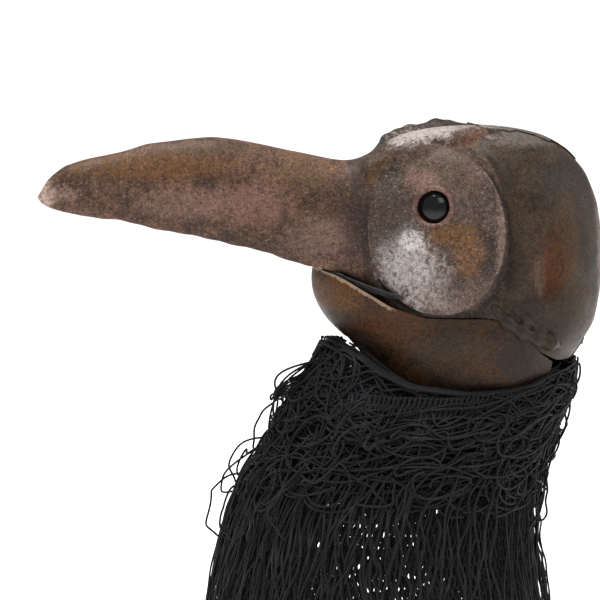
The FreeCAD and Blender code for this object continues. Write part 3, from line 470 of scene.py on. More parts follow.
grain = w.noise(place, 620.0, 4.0, 0.75)
mixed = w.maths("ADD", w.maths("MULTIPLY", blotch, 0.55), w.maths("MULTIPLY", cloud, 0.45))
dark_share = w.spread(mixed, 0.40, 0.60)
base = w.blend(dark_share, feed.outputs["Dark"], feed.outputs["Middle"])
dry = w.maths("MULTIPLY", w.spread(stroke, 0.50, 0.74), w.spread(grain, 0.34, 0.66))
dry = w.maths("MULTIPLY", dry, feed.outputs["Dry Brush"], clamp=True)
topped = w.blend(dry, base, feed.outputs["Light"])
hatch = w.noise(turned, 210.0, 5.0, 0.75, 2.2)
speck = w.maths("MULTIPLY", w.spread(grain, 0.34, 0.60, 0.62, 1.12), w.spread(hatch, 0.36, 0.66, 0.58, 1.42))
shaded = w.add("ShaderNodeVectorMath", {"operation": "SCALE"}, i0=topped, Scale=speck)
fibre = w.add("ShaderNodeTexNoise", {"noise_type": "RIDGED_MULTIFRACTAL"}, Vector=turned, Scale=70.0,
              Detail=5.0).outputs["Fac"]
height = w.maths("ADD", w.maths("MULTIPLY", grain, 0.25), w.maths("MULTIPLY", cloud, 1.0))
height = w.maths("ADD", height, w.maths("MULTIPLY", fibre, 0.12))
w.fill(out, Color=shaded.outputs[0], Roughness=w.spread(cloud, 0.3, 0.7, 0.36, 0.58), Height=height)

def far_off(w, feed):
    """How far a point lies from a group's Centre, where 1 is its Reach on each axis."""
    away = w.add("ShaderNodeVectorMath", {"operation": "SUBTRACT"}, i0=w.place(), i1=feed.outputs["Centre"])
    away = w.add("ShaderNodeVectorMath", {"operation": "DIVIDE"}, i0=away.outputs[0],
                 i1=feed.outputs["Reach"])
    return w.add("ShaderNodeVectorMath", {"operation": "LENGTH"}, i0=away.outputs[0]).outputs["Value"]


# one broken-edged area of another paint
paint_patch, w, feed, out = new_group("paint_patch", [
    ("Centre", "NodeSocketVector", False, None), ("Reach", "NodeSocketVector", False, (0.05, 0.05, 0.05)),
    ("Ragged", "NodeSocketFloat", False, 0.6), ("Mask", "NodeSocketFloat", True, None)])
far = far_off(w, feed)
rough_edge = w.noise(w.place(), 105.0, 8.0, 0.82, 0.8)
ragged = w.maths("MULTIPLY", w.maths("SUBTRACT", rough_edge, 0.5), feed.outputs["Ragged"])
far = w.maths("ADD", far, w.maths("MULTIPLY", ragged, 2.6))
w.fill(out, Mask=w.spread(far, 1.1, 0.5))

# painted shade along the groove round the cheek disc, as a broken ring
groove_shade_ring, w, feed, out = new_group("groove_shade_ring", [
    ("Centre", "NodeSocketVector", False, None), ("Reach", "NodeSocketVector", False, (0.05, 0.05, 0.05)),
    ("Width", "NodeSocketFloat", False, 0.08), ("Mask", "NodeSocketFloat", True, None)])
far = far_off(w, feed)
broken = w.noise(w.place(), 60.0, 6.0, 0.75)
off_edge = w.maths("DIVIDE", w.maths("ABSOLUTE", w.maths("SUBTRACT", far, 1.0)), feed.outputs["Width"])
off_edge = w.maths("ADD", off_edge, w.maths("MULTIPLY", w.maths("SUBTRACT", broken, 0.5), 1.6))
w.fill(out, Mask=w.spread(off_edge, 1.0, 0.1))


def painted(name, dark, middle, light, dry, patches, relief=0.0013, rings=()):
    """Brushed paint with patches (centre mm, reach mm, ragged, strength, colour) and rings of painted groove
    shade (the same, with a width for ragged)."""
    material, w, shader = new_material(name)
    paint = w.add("ShaderNodeGroup", {"node_tree": brushed_paint}, Dark=dark, Middle=middle, Light=light,
                  Dry_Brush=dry)
    now = paint.outputs["Color"]
    marks = [(paint_patch, *patch) for patch in patches] + [(groove_shade_ring, *ring) for ring in rings]
    for tree, centre, reach, roughness, strength, shade in marks:
        mask = w.add("ShaderNodeGroup", {"node_tree": tree}, Centre=[v / 1000 for v in centre],
                     Reach=[v / 1000 for v in reach], i2=roughness).outputs["Mask"]
        now = w.blend(w.maths("MULTIPLY", mask, strength), now, shade)
    # specks of the dark undercoat and of worn paper stay visible through the patches
    place = w.place()
    fine = w.noise(place, 250.0, 7.0, 0.85, 0.8)
    now = w.blend(w.spread(fine, 0.38, 0.56, 0.85, 0.0), now, tuple(v * 0.45 for v in dark))
    rubbed = w.noise(place, 330.0, 6.0, 0.8, 1.5)
    now = w.blend(w.spread(rubbed, 0.53, 0.68, 0.0, 0.75 * dry), now, light)
    w.fill(shader, Base_Color=now, Roughness=paint.outputs["Roughness"], Specular_IOR_Level=0.16,
           Normal=w.bump(paint.outputs["Height"], 0.55, relief))
    return material


# near-black paint for the painted shade in the groove round each cheek disc
GROOVE_SHADE = colour(24, 19, 18)
DISC_GROOVE = [((0, -70, -58), (400, 69, 90), 0.07, 0.85, GROOVE_SHADE)]
cranium_paint = painted("cranium_paint", colour(40, 30, 22), colour(70, 54, 40), colour(104, 86, 68), 0.5, [
    ((112, 44, -92), (40, 30, 40), 1.2, 0.8, colour(84, 42, 14)),
    ((108, 66, -60), (50, 24, 60), 1.0, 0.5, colour(78, 52, 24)),
    ((108, 84, -130), (50, 40, 34), 1.0, 0.6, colour(62, 42, 22)),
    ((110, 40, -150), (50, 60, 40), 1.0, 0.5, colour(40, 30, 20)),
    ((112, 30, -98), (40, 11, 24), 1.0, 0.35, colour(104, 92, 80)),
    # dark patch in the trough behind the cheek disc: painted shade
    ((112, -8, -84), (50, 22, 50), 1.0, 0.6, colour(36, 28, 22)),
    # pale band on the back of the head: painted rim highlight where the skull curves away
    ((60, 134, -60), (60, 24, 110), 0.7, 0.75, colour(142, 120, 112)),
    # these two pale grey patches over the top of the head are painted top light
    ((50, 30, 48), (70, 80, 16), 0.8, 0.6, colour(118, 108, 102)),
    ((14, -34, 56), (58, 50, 24), 1.0, 0.65, colour(180, 166, 160)),
    ((110, 10, -158), (50, 60, 24), 0.9, 0.6, colour(46, 38, 34)),
    ((104, -16, 6), (40, 26, 26), 0.8, 0.6, colour(44, 38, 36)),
], rings=DISC_GROOVE)
wear(thicken(cranium, 3), cranium_paint, "head", "cranium_paint", "cranium_shell")

# ---------------------------------------------------------------- face shell
# The front half of the head, the same papier-mache skin, glued to the cranium along the trough
# behind the cheek discs and drilled for the two eyes.
EYE_YAW, EYE_PITCH = math.radians(30), math.radians(8)
eye_axis = np.array((math.cos(EYE_YAW) * math.cos(EYE_PITCH), -math.sin(EYE_YAW) * math.cos(EYE_PITCH),
                     math.sin(EYE_PITCH)))


def from_eye(at):
    """Distance from the nearer eye's axis."""
    offset = np.stack((np.abs(at[0]) - EYE_SPOT[0], at[1] - EYE_SPOT[1], at[2] - EYE_SPOT[2]))
    along = np.tensordot(eye_axis, offset, axes=1)
    return np.sqrt(np.maximum((offset ** 2).sum(axis=0) - along ** 2, 0)) + 100 * (np.abs(at[0]) < 45)


eye_gap = from_eye(head_points.T)
beak_area = -(py + 152 + 0.10 * (pz + 40))
face_area = np.minimum(np.minimum(-behind_face, above_mouth), np.minimum(-on_brow, -beak_area))
face_area = np.minimum(face_area, eye_gap - 20.5)
face = to_mesh("face_shell_skin", *cut_skin(head_points, head_triangles, face_area))
face_paint = painted("face_paint", colour(42, 32, 25), colour(80, 62, 50), colour(150, 128, 118), 0.6, [
    # dark patch at the beak root: painted shade in the hollow where face and beak meet
    ((0, -152, -40), (90, 34, 64), 0.9, 0.85, colour(48, 36, 31)),
    # silver paint with a painted sheen on it, along the front edge of the cheek disc
    ((70, -130, -84), (60, 9, 26), 0.9, 0.8, colour(170, 162, 160)),
    ((60, -118, 4), (60, 30, 26), 1.0, 0.5, colour(104, 76, 44)),
    # pale grey in the valley between the brows: painted top light
    ((14, -74, 56), (60, 64, 28), 0.9, 0.8, colour(198, 184, 179)),
    ((60, -30, 44), (60, 26, 12), 1.0, 0.5, colour(122, 84, 60)),
    # dark band along the mouth seam: painted shade in the groove between face and jaw
    ((100, -50, -142), (60, 70, 10), 0.7, 0.7, colour(44, 36, 32)),
], rings=DISC_GROOVE)
wear(thicken(face, 3), face_paint, "head", "face_paint", "face_shell")

# ---------------------------------------------------------------- upper beak
# A long hollow tapering tube of the same papier-mache over card formers, flat-sided with a crisp
# lower edge, glued into the face.
above_jaw = np.where(py > -196, pz + 128, 10)
upper_beak = cut_skin(head_points, head_triangles, np.minimum(beak_area, above_jaw))
upper_beak = to_mesh("upper_beak_skin", *upper_beak)
beak_paint = painted("beak_paint", colour(62, 44, 35), colour(116, 84, 66), colour(158, 134, 124), 0.8, [
    # dark patch at the beak root: painted shade in the hollow where beak and face meet
    ((0, -150, -40), (90, 40, 64), 0.9, 0.9, colour(46, 35, 31)),
    ((0, -214, 8), (80, 44, 26), 1.0, 0.6, colour(96, 74, 50)),
    ((20, -370, 20), (60, 110, 20), 1.0, 0.8, colour(104, 70, 38)),
    ((20, -300, 36), (60, 90, 10), 1.0, 0.6, colour(84, 64, 44)),
    ((20, -330, -20), (60, 70, 20), 1.0, 0.5, colour(140, 108, 96)),
    ((20, -262, -22), (60, 46, 26), 1.0, 0.5, colour(134, 98, 88)),
    ((20, -196, -60), (60, 44, 26), 1.0, 0.5, colour(126, 100, 92)),
    # pale tip and its fade: painted rim light on the end of the beak
    ((0, -484, -12), (30, 15, 20), 0.9, 0.8, colour(206, 178, 168)),
    ((0, -462, -8), (30, 22, 12), 1.3, 0.5, colour(150, 122, 108)),
])
wear(thicken(upper_beak, 2.5), beak_paint, "head", "beak_paint", "upper_beak")

# ---------------------------------------------------------------- brow rolls
# Twisted paper rolls glued along the tops of the eye sockets under the last skin layer; their lumps
# are hand-pressed, and the right one is the higher.
for side, area in (("left", left_brow_area), ("right", right_brow_area)):
    brow = to_mesh(f"{side}_brow_roll", *cut_skin(head_points, head_triangles, np.minimum(area, -beak_area)))
    wear(thicken(brow, 3), face_paint, "head", "face_paint", f"{side}_brow_ridge")

# ---------------------------------------------------------------- cheek discs
# A raised egg-shaped plate of card and pulp on each side of the face, dry-brushed with silver and pink over
# brown, with a pressed groove round its edge; its silver patches also carry a painted sheen, a painted
# highlight runs along its back edge, and painted shade lies at its front by the beak root.
def point_normals(points, triangles):
    first, second, third = (points[triangles[:, k]] for k in range(3))
    faces = np.cross(second - first, third - first)
    total = np.zeros_like(points)
    for k in range(3):
        np.add.at(total, triangles[:, k], faces)
    return total / np.maximum(np.linalg.norm(total, axis=1, keepdims=True), 1e-9)


disc_paint = painted("disc_paint", colour(56, 43, 36), colour(104, 82, 72), colour(182, 170, 162), 0.65, [
    # these two pale patches on the lower front of the disc are silver dry-brush with a painted sheen
    ((80, -112, -84), (60, 28, 48), 1.5, 0.7, colour(190, 183, 179)),
    ((80, -92, -100), (60, 30, 36), 1.6, 0.5, colour(168, 158, 154)),
    ((80, -80, -122), (60, 34, 14), 1.4, 0.5, colour(150, 134, 128)),
    ((90, -46, -112), (60, 34, 24), 1.2, 0.6, colour(92, 74, 64)),
    ((95, -64, -52), (60, 30, 18), 1.2, 0.8, colour(104, 70, 32)),
    ((95, -50, -78), (60, 18, 26), 1.2, 0.65, colour(116, 78, 42)),
    ((90, -74, 20), (60, 50, 32), 1.1, 0.75, colour(78, 60, 46)),
    # dark patch at the front of the disc by the beak root: painted shade
    ((80, -128, -24), (60, 30, 54), 1.0, 0.9, colour(58, 45, 39)),
    ((90, -92, 2), (60, 20, 16), 1.0, 0.5, colour(146, 112, 102)),
    # small bright spot: silver dry-brush with a painted sheen
    ((80, -104, -62), (60, 14, 12), 1.0, 0.7, colour(206, 198, 196)),
    # pale band along the disc's back edge: painted highlight on the raised rim
    ((95, -16, -66), (60, 7, 52), 1.3, 0.5, colour(150, 122, 112)),
    ((95, -60, -134), (60, 50, 8), 1.3, 0.25, colour(140, 120, 112)),
    ((95, -58, -24), (60, 26, 22), 1.2, 0.5, colour(84, 68, 60)),
], relief=0.0014)
for side, sign in (("left", 1), ("right", -1)):
    area = np.minimum(1.0 - disc_ring(head_points.T), (px * sign - 22) / 60)
    area = np.minimum(area * 60, np.minimum(eye_gap - 20.5, above_mouth + 1))
    points, triangles = cut_skin(head_points, head_triangles, area)
    at = points.T
    ring = disc_ring(at)
    soft_top = 1 - 0.97 * np.minimum(1, 1.3 * bump((at[1], at[2]), (-112, 34), (58, 62)))
    lift = 0.25 + (1.5 + 2.8 * smooth_step(1.0, 0.84, ring)) * soft_top
    lift = lift + 1.5 * np.exp(-((from_eye(at) - 21) / 6) ** 2)
    points = points + point_normals(points, triangles) * lift[:, None]
    disc = to_mesh(f"{side}_cheek_disc_plate", points, triangles)
    wear(thicken(disc, 3), disc_paint, "head", "disc_paint", f"{side}_cheek_disc")

# ---------------------------------------------------------------- eyes
# A clay ring in each socket, a polished black plastic dome behind it, and a push-in ring that holds
# the dome from inside.
def turned_ring(name, side, profile, steps=72, wobble=0.0):
    """A closed or capped shape turned about the eye axis from (radius, along) pairs, in millimetres."""
    sign = 1 if side == "left" else -1
    axis = Vector(eye_axis)
    across = axis.orthogonal().normalized()
    other = axis.cross(across)
    points, faces = [], []
    for step in range(steps):
        angle = 2 * math.pi * step / steps
        out_way = across * math.cos(angle) + other * math.sin(angle)
        for number, (radius, along) in enumerate(profile):
            ripple = wobble * math.sin(angle * 3 + number) + wobble * 0.6 * math.sin(angle * 7 + 2)
            spot = Vector(EYE_SPOT) + out_way * (radius + ripple * (radius > 1))
            spot += axis * (along + ripple * 0.5)
            points.append((spot.x * sign, spot.y, spot.z))
    count = len(profile)
    for step in range(steps):
        after = (step + 1) % steps
        for number in range(count - 1):
            quad = (step * count + number, after * count + number, after * count + number + 1,
                    step * count + number + 1)
            faces.append(quad if sign > 0 else quad[::-1])
    thing = to_mesh(name, points, faces)
    bm = bmesh.new()
    bm.from_mesh(thing.data)
    bmesh.ops.remove_doubles(bm, verts=bm.verts, dist=0.00005)
    bmesh.ops.recalc_face_normals(bm, faces=bm.faces)
    bm.to_mesh(thing.data)
    bm.free()
    for polygon in thing.data.polygons:
        polygon.use_smooth = True
    return thing


RIM_PROFILE = [(17.5, -7), (17.4, 0.5), (17.9, 2.4), (19.0, 3.6), (20.3, 3.7), (21.6, 2.9), (22.6, 1.4),
               (23.2, -0.8), (22.4, -3.0), (20.9, -5.0), (19.5, -7.2), (17.5, -7)]
DOME_RADIUS, DOME_RISE, DOME_BASE, DOME_EDGE = 17.9, 7.6, -5.5, math.radians(74)
DOME = [(DOME_RADIUS * math.sin(math.radians(a)) / math.sin(DOME_EDGE),
         DOME_BASE + DOME_RISE * (1 - (1 - math.cos(math.radians(a))) / (1 - math.cos(DOME_EDGE))))
        for a in range(0, 75, 4)]
LENS_PROFILE = DOME + [(17.9, -6.8), (20.4, -6.8), (20.4, -8.8), (0, -8.8)]
rim_paint = painted("rim_paint", colour(76, 54, 48), colour(132, 100, 90), colour(180, 150, 140), 0.8, [],
                    relief=0.0006)
black_dome, w, shader = new_material("black_dome")
spots = w.noise(w.place(), 180.0, 5.0)
w.fill(shader, Base_Color=w.blend(spots, colour(6, 6, 7), colour(15, 15, 17)), IOR=1.38,
       Roughness=w.spread(spots, 0.3, 0.7, 0.08, 0.22))
for side in ("left", "right"):
    rim = turned_ring(f"{side}_eye_ring", side, RIM_PROFILE, wobble=0.22)
    wear(rim, rim_paint, "head", "rim_paint", f"{side}_eye_rim")
    lens = turned_ring(f"{side}_eye_dome", side, LENS_PROFILE)
    lens.data.set_sharp_from_angle(angle=math.radians(60))
    wear(lens, black_dome, "head", "black_lens", f"{side}_eye_lens")

# ---------------------------------------------------------------- crown strip
# A torn strip of paper lapped over the seam on top of the skull; its ragged edges stand proud.
def torn_side(x, y):
    """How far a point lies inside the strip's long torn edges."""
    return 36 + 4 * np.sin(y * 0.13) + 2.5 * np.sin(y * 0.31 + 1) - np.abs(x + 5)


torn_ends = np.minimum(py + 6 + 2 * np.sin(px * 0.4), 98 - py + 3 * np.sin(px * 0.3))
strip_area = np.minimum(np.minimum(torn_side(px, py) + 1.5 * np.sin(py * 0.7), torn_ends), pz)
points, triangles = cut_skin(head_points, head_triangles, strip_area)
edge = np.minimum(torn_side(points[:, 0], points[:, 1]), points[:, 1] + 8)
lift = 0.9 + 0.7 * smooth_step(10, 0, edge)
strip = to_mesh("crown_strip_paper", points + point_normals(points, triangles) * lift[:, None], triangles)
wear(thicken(strip, 0.9), cranium_paint, "head", "cranium_paint", "crown_strip")

# ---------------------------------------------------------------- jaw folds
# A rolled and pinched lump of pulp over each hinge, where the bird's cheek folds over its jaw.
FOLD_MAIN = [(108, -22, -131, 5), (110, -8, -147, 7.5), (107, 10, -159, 8), (103, 30, -168, 8),
             (102, 45, -172, 9), (92, 58, -178, 5)]
FOLD_SECOND = [(110, -4, -130, 4), (109, 14, -145, 5), (103, 34, -158, 4.5), (94, 54, -168, 3)]


def fold(at):
    rolls = join_softly(roll(at, FOLD_MAIN), roll(at, FOLD_SECOND), 3)
    rolls = rolls - 0.35 * np.sin(0.3 * (at[1] - 0.5 * at[2])) - 0.25 * np.sin(0.5 * at[1] + 0.4 * at[2] + 1)
    return keep_softly(rolls, -(skull(at) + 1.5), 1)


fold_points, fold_triangles = cast(fold, (80, -40, -200), (126, 68, -116))
for side, sign in (("left", 1), ("right", -1)):
    piece = to_mesh(f"{side}_jaw_fold_roll", fold_points * np.array((sign, 1, 1)), fold_triangles[:, ::sign])
    wear(piece, cranium_paint, "head", "jaw_paint", f"{side}_jaw_fold")

# ---------------------------------------------------------------- nape tab
# A torn card tab riveted inside the back rim; the knit drape is sewn to it.
tab_edge = pz + 205 + 3 * np.sin(px * 0.5) + 2 * np.sin(px * 1.1)
tab_area = np.minimum(np.minimum(tab_edge, -181 - pz), np.minimum(26 - np.abs(px), py - 60))
points, triangles = cut_skin(head_points, head_triangles, tab_area)
tab = to_mesh("nape_tab_card", points + point_normals(points, triangles) * 2.2, triangles)
wear(thicken(tab, 1.4), cranium_paint, "head", "cranium_paint", "nape_tab")

# ---------------------------------------------------------------- lower jaw
# The bowl-shaped lower beak and jowl in one shell, hung on two hinge screws; its cut rim is painted pale as a
# highlight along the edge, and its inner ears carry the hinge.
JAW_LOW, JAW_HIGH = (-122, -204, -236), (122, 70, -80)


def lower_head(at):
    x, y, z = at
    form = skull(at)
    lobe = (np.sqrt((x / 82) ** 2 + ((y + 97) / 93) ** 2 + ((z + 108) / 80) ** 2 + 1e-6) - 1) * 74
    whole = join_softly(form, lobe, 22)
    return whole + 0.5 * np.sin(0.05 * (x + y)) * np.sin(0.06 * z) + 0.4 * np.sin(0.11 * (y - x) + 1)


jaw_points, jaw_triangles = cast(lower_head, JAW_LOW, JAW_HIGH)
jy, jz = jaw_points.T[1:]
jaw_rim = smooth_curve((-215, -147, -137, -103, -41, 13, 57), (-178, -173, -197, -216, -224, -219, -208), 3)
JAW_GAP, BACK_GAP, FRONT_RISE = 0.8, 2.4, 2.6


def jaw_edge(y):
    """The height of the jaw's cut rim: clear of the cranium at the back, risen to the beak in front."""
    cut_back = BACK_GAP * smooth_step(36, 50, y)
    return seam_mouth(y) - JAW_GAP - cut_back + FRONT_RISE * smooth_step(-158, -182, y)


below_mouth = jaw_edge(jy) - jz
above_rim = jz - jaw_rim(jy)
jaw_area = np.minimum(np.minimum(below_mouth, above_rim), 54 - jy)
jaw = to_mesh("lower_jaw_skin", *cut_skin(jaw_points, jaw_triangles, jaw_area))
jaw_paint = painted("jaw_paint", colour(30, 21, 13), colour(68, 42, 21), colour(114, 80, 46), 0.6, [
    ((40, -180, -122), (90, 34, 26), 1.1, 0.75, colour(96, 62, 28)),
    ((50, -170, -150), (90, 50, 12), 1.2, 0.5, colour(44, 30, 20)),
    ((70, -120, -150), (60, 44, 22), 1.1, 0.55, colour(80, 45, 20)),
    ((96, -60, -176), (60, 60, 18), 1.1, 0.5, colour(60, 50, 38)),
    ((96, 24, -186), (60, 52, 46), 0.9, 0.8, colour(34, 27, 21)),
    # dark band along the jaw's underside: painted shade
    ((60, -30, -224), (80, 130, 14), 0.7, 0.8, colour(34, 27, 23)),
])
# a pale band painted along the jaw's cut rim as a highlight on its edge, broken up by noise
pale_marks = jaw.data.attributes.new("rim_highlight", "FLOAT", "POINT")
for vertex, mark in zip(jaw.data.vertices, pale_marks.data):
    along, up = vertex.co.y * 1000, vertex.co.z * 1000
    mark.value = float(smooth_step(5.0, 1.0, jaw_edge(along) - up) * smooth_step(-108, -128, along))
w = Wiring(jaw_paint.node_tree)
shader = jaw_paint.node_tree.nodes["Principled BSDF"]
rim_mark = w.add("ShaderNodeAttribute", {"attribute_name": "rim_highlight"}).outputs["Fac"]
rim_breakup_noise = w.noise(w.place(), 210.0, 6.0, 0.75)
rim_breakup = w.maths("MULTIPLY", w.maths("SUBTRACT", rim_breakup_noise, 0.5), 3.0)
rim_mark = w.spread(w.maths("ADD", rim_mark, rim_breakup), 0.5, 0.9)
under = shader.inputs["Base Color"].links[0].from_socket
w.fill(shader, Base_Color=w.blend(w.maths("MULTIPLY", rim_mark, 0.65), under, colour(160, 136, 114)))
wear(thicken(jaw, 3.5), jaw_paint, "jaw", "jaw_paint", "lower_jaw")


# ---------------------------------------------------------------- mouth scrim
# Black gauze glued inside the mouth, which the wearer breathes and sees through.
def skin_at(outline_z, angle, inset):
    """A point on the head form at a height and an angle from straight ahead, set inwards."""
    length = np.sqrt(np.maximum(head_square(outline_z), 1)) - inset
    width = length * head_ratio(outline_z)
    return width * np.sin(angle), head_middle(outline_z) - length * np.cos(angle)


def cloth_grid(name, rows, columns, point_at):
    """A strip of cloth through point_at(across, down), both from 0 to 1."""
    across, down = np.meshgrid(np.linspace(0, 1, columns), np.linspace(0, 1, rows))
    points = np.stack(point_at(across, down), axis=-1).reshape(-1, 3)
    faces = [(r * columns + c, r * columns + c + 1, (r + 1) * columns + c + 1, (r + 1) * columns + c)
             for r in range(rows - 1) for c in range(columns - 1)]
    return to_mesh(name, points, faces)


def cloth(name, shade, light, pitch, sheen=0.25):
    """Woven or knitted cloth: crossed threads at a pitch in millimetres, with slubs."""
    material, w, shader = new_material(name)
    place = w.place()
    first, second = [w.add("ShaderNodeTexWave", {"bands_direction": way}, Vector=place, Scale=50 / pitch,
                           Distortion=1.2, Detail=2.0, Detail_Scale=3.0).outputs["Fac"]
                     for way in ("Z", "DIAGONAL")]
    slub = w.noise(place, 420.0, 5.0, 0.7)
    pale_marks = w.noise(place, 38.0, 4.0)
    weave = w.maths("MULTIPLY", first, second)
    now = w.blend(w.maths("MULTIPLY", w.maths("ADD", weave, slub), 0.6), shade, light)
    now = w.blend(w.spread(pale_marks, 0.45, 0.75, 0, 0.5), now, tuple(v * 1.5 for v in light))
    w.fill(shader, Base_Color=now, Roughness=w.spread(slub, 0.3, 0.7, 0.7, 0.95), Sheen_Weight=sheen,
           Normal=w.bump(w.maths("ADD", weave, slub), 0.6, 0.0006))
    return material


gauze = cloth("black_gauze", colour(12, 12, 14), colour(40, 40, 44), 1.2)


def scrim_at(across, down):
    low = np.clip((down - 0.5) * 2, 0, 1)
    z = -128 - 40 * low
    angle = (across - 0.5) * 2 * 1.02
    x, y = skin_at(z, angle, 6.6)
    pull = 1.2 * np.sin(across * 31) * np.sin(down * 9) + 0.8 * np.sin(across * 57 + down * 11)
    x, y, z = x * (1 - pull / 100), y + pull * 0.6, z + 0.6 * np.sin(across * 23)
    # the upper half runs forward to the underside of the beak
    lip_x, lip_y = 66 * np.sin(1.45 * angle), -112 - 73 * np.cos(1.45 * angle)
    lip_z = np.interp(lip_y, (-185, -172, -154, -112), (-94, -99, -106, -126))
    share = smooth_step(0.5, 0.0, down)
    return x + (lip_x - x) * share, y + (lip_y - y) * share, z + (lip_z - z) * share


scrim = cloth_grid("mouth_scrim_gauze", 40, 90, scrim_at)
wear(thicken(scrim, 0.8), gauze, "head", "scrim_cloth", "mouth_scrim")

# ---------------------------------------------------------------- head harness
# A plastic headband riveted to two crown straps of cotton webbing, with foam behind the brow and the
# nape, a round crown pad, and four foam blocks that hold the mask off the wearer's head.
webbing_cloth = cloth("black_webbing", colour(18, 18, 20), colour(46, 46, 50), 1.6, sheen=0.15)
elastic_cloth = cloth("black_elastic", colour(16, 16, 17), colour(52, 52, 54), 1.1, sheen=0.1)
STRAP_WIDTH = 22.0


def strap(name, line, across, width, thick, material, body, slot, node):
    """A flat strap along a line of points, with raised woven edges; across is its width's direction."""
    line = np.array(line, float)
    way = np.gradient(line, axis=0)
    way /= np.linalg.norm(way, axis=1, keepdims=True)
    side = np.array(across, float)
    rise = np.cross(way, side)
    half, t = width / 2, thick / 2
    upper = [(half - 0.5, t * 1.1), (half - 1.8, t * 0.8), (half * 0.4, t * 0.9)]
    upper = [(-a, b) for a, b in upper] + upper[::-1]
    ring = [(-half, 0), *upper, (half, 0), *((a, -b) for a, b in upper[::-1])]
    points = np.array([p + side * a + r * b for p, r in zip(line, rise) for a, b in ring])
    count = len(ring)
    faces = [[s + k, s + (k + 1) % count, s + count + (k + 1) % count, s + count + k]
             for s in range(0, (len(line) - 1) * count, count) for k in range(count)]
    faces.append(list(range(count))[::-1])
    faces.append([(len(line) - 1) * count + k for k in range(count)])
    bm = bmesh.new()
    spots = [bm.verts.new(p / 1000) for p in points]
    for face in faces:
        bm.faces.new([spots[k] for k in face])
    bmesh.ops.recalc_face_normals(bm, faces=bm.faces)
    mesh = bpy.data.meshes.new(name)
    bm.to_mesh(mesh)
    bm.free()
    for polygon in mesh.polygons:
        polygon.use_smooth = len(polygon.vertices) == 4
    return wear(add_piece(name, mesh), material, body, slot, node)


def arch(half, rise, middle, spring, leg, along):
    """Points up a leg, over an elliptical crown and down the other leg."""
    turn = np.linspace(math.pi, 0, 60)
    run = [(-half, spring - leg + k * leg / 4) for k in range(4)]
    run += [(half * math.cos(a), spring + rise * math.sin(a)) for a in turn]
    run += [(half, spring - k * leg / 4) for k in range(1, 5)]
    return [(0, middle + h, z) if along == "Y" else (h, middle, z) for h, z in run]


CROWN_STRAPS = (("long", 104.95, 56.75, "Y", (1, 0, 0)), ("cross", 84.95, 59.25, "X", (0, 1, 0)))
for name, half, rise, along, across in CROWN_STRAPS:
    strap(f"{name}_strap_webbing", arch(half, rise, 3, -50, 22, along), across, STRAP_WIDTH, 1.5,
          webbing_cloth, "head", "webbing", f"{name}_crown_strap")

foam, w, shader = new_material("open_cell_foam")
place = w.place()
cells = w.add("ShaderNodeTexVoronoi", {"feature": "DISTANCE_TO_EDGE"}, Vector=place, Scale=700.0)
cells = cells.outputs["Distance"]
cloudy = w.noise(place, 45.0, 5.0)
speckled = w.blend(cloudy, colour(26, 26, 28), colour(44, 44, 47))
w.fill(shader, Base_Color=w.blend(w.spread(cells, 0.0, 0.25), colour(58, 58, 62), speckled),
       Roughness=w.spread(cloudy, 0.2, 0.8, 0.85, 1.0), Normal=w.bump(cells, 0.8, 0.0008))


def foam_piece(node, body, crumple):
    """A foam piece with softened edges and a slightly crumpled face, inside its own CAD solid's place."""
    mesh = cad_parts[node].data.copy()
    mesh.name = f"{node}_foam"
    thing = add_piece(f"{node}_foam", mesh)
    bm = bmesh.new()
    bm.from_mesh(mesh)
    bmesh.ops.remove_doubles(bm, verts=bm.verts, dist=0.00002)
    bm.to_mesh(mesh)
    bm.free()
    remesh = thing.modifiers.new("even", "REMESH")
    remesh.mode, remesh.voxel_size = "VOXEL", 0.0022
    soften = thing.modifiers.new("soften", "SMOOTH")
    soften.factor, soften.iterations = 0.5, 7
    apply_all(thing)
    points = np.empty(len(thing.data.vertices) * 3)
    thing.data.vertices.foreach_get("co", points)
    points = points.reshape(-1, 3)
    ways = np.empty(len(points) * 3)
    thing.data.vertices.foreach_get("normal", ways)
    x, y, z = points.T
    swell = np.sin(x * 210 + 1) * np.sin(y * 190) + np.sin(z * 260 + x * 90)
    points = points + ways.reshape(-1, 3) * (swell[:, None] * crumple / 1000 - 0.0002)
    thing.data.vertices.foreach_set("co", points.ravel())
    thing.data.update()
    for polygon in thing.data.polygons:
        polygon.use_smooth = True
    wear(thing, foam, body, "foam", node)


for pad in ("brow_pad", "nape_pad", "crown_pad"):
    foam_piece(pad, "head", 0.25)
for block in ("front_left", "front_right", "rear_left", "rear_right"):
    foam_piece(f"{block}_foam_block", "head", 0.3)
foam_piece("chin_pad", "jaw", 0.25)

# ---------------------------------------------------------------- chin sling and jaw elastics
# The sling under the wearer's chin is riveted inside the jaw and pulls it open with the chin; a flat
# braided elastic on each side, held by buttons, closes it again.
SLING_TURNS = np.linspace(-math.pi / 2, math.pi / 2, 60)
SLING = [(math.sin(a) * 65.2, -94, -188 - 39.2 * math.cos(a)) for a in SLING_TURNS]
strap("chin_sling_webbing", SLING, (0, 1, 0), 21.8, 1.5, webbing_cloth, "jaw", "webbing", "chin_sling")
for side in ("left", "right"):
    low_corner, high_corner = [v * 1000 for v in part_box(f"{side}_jaw_elastic")]
    sign = 1 if side == "left" else -1
    inner_x, outer_x = sorted((abs(low_corner.x), abs(high_corner.x)))
    line = [(sign * (inner_x + 0.6 + (outer_x - inner_x - 1.2) * k / 12), (low_corner.y + high_corner.y) / 2,
             low_corner.z + (high_corner.z - low_corner.z) * k / 12) for k in range(13)]
    strap(f"{side}_elastic_braid", line, (0, 1, 0), 9.8, 1.2, elastic_cloth,
          ((0, 0.004, -0.125), (0, 0.004, -0.172)), "elastic", f"{side}_jaw_elastic")

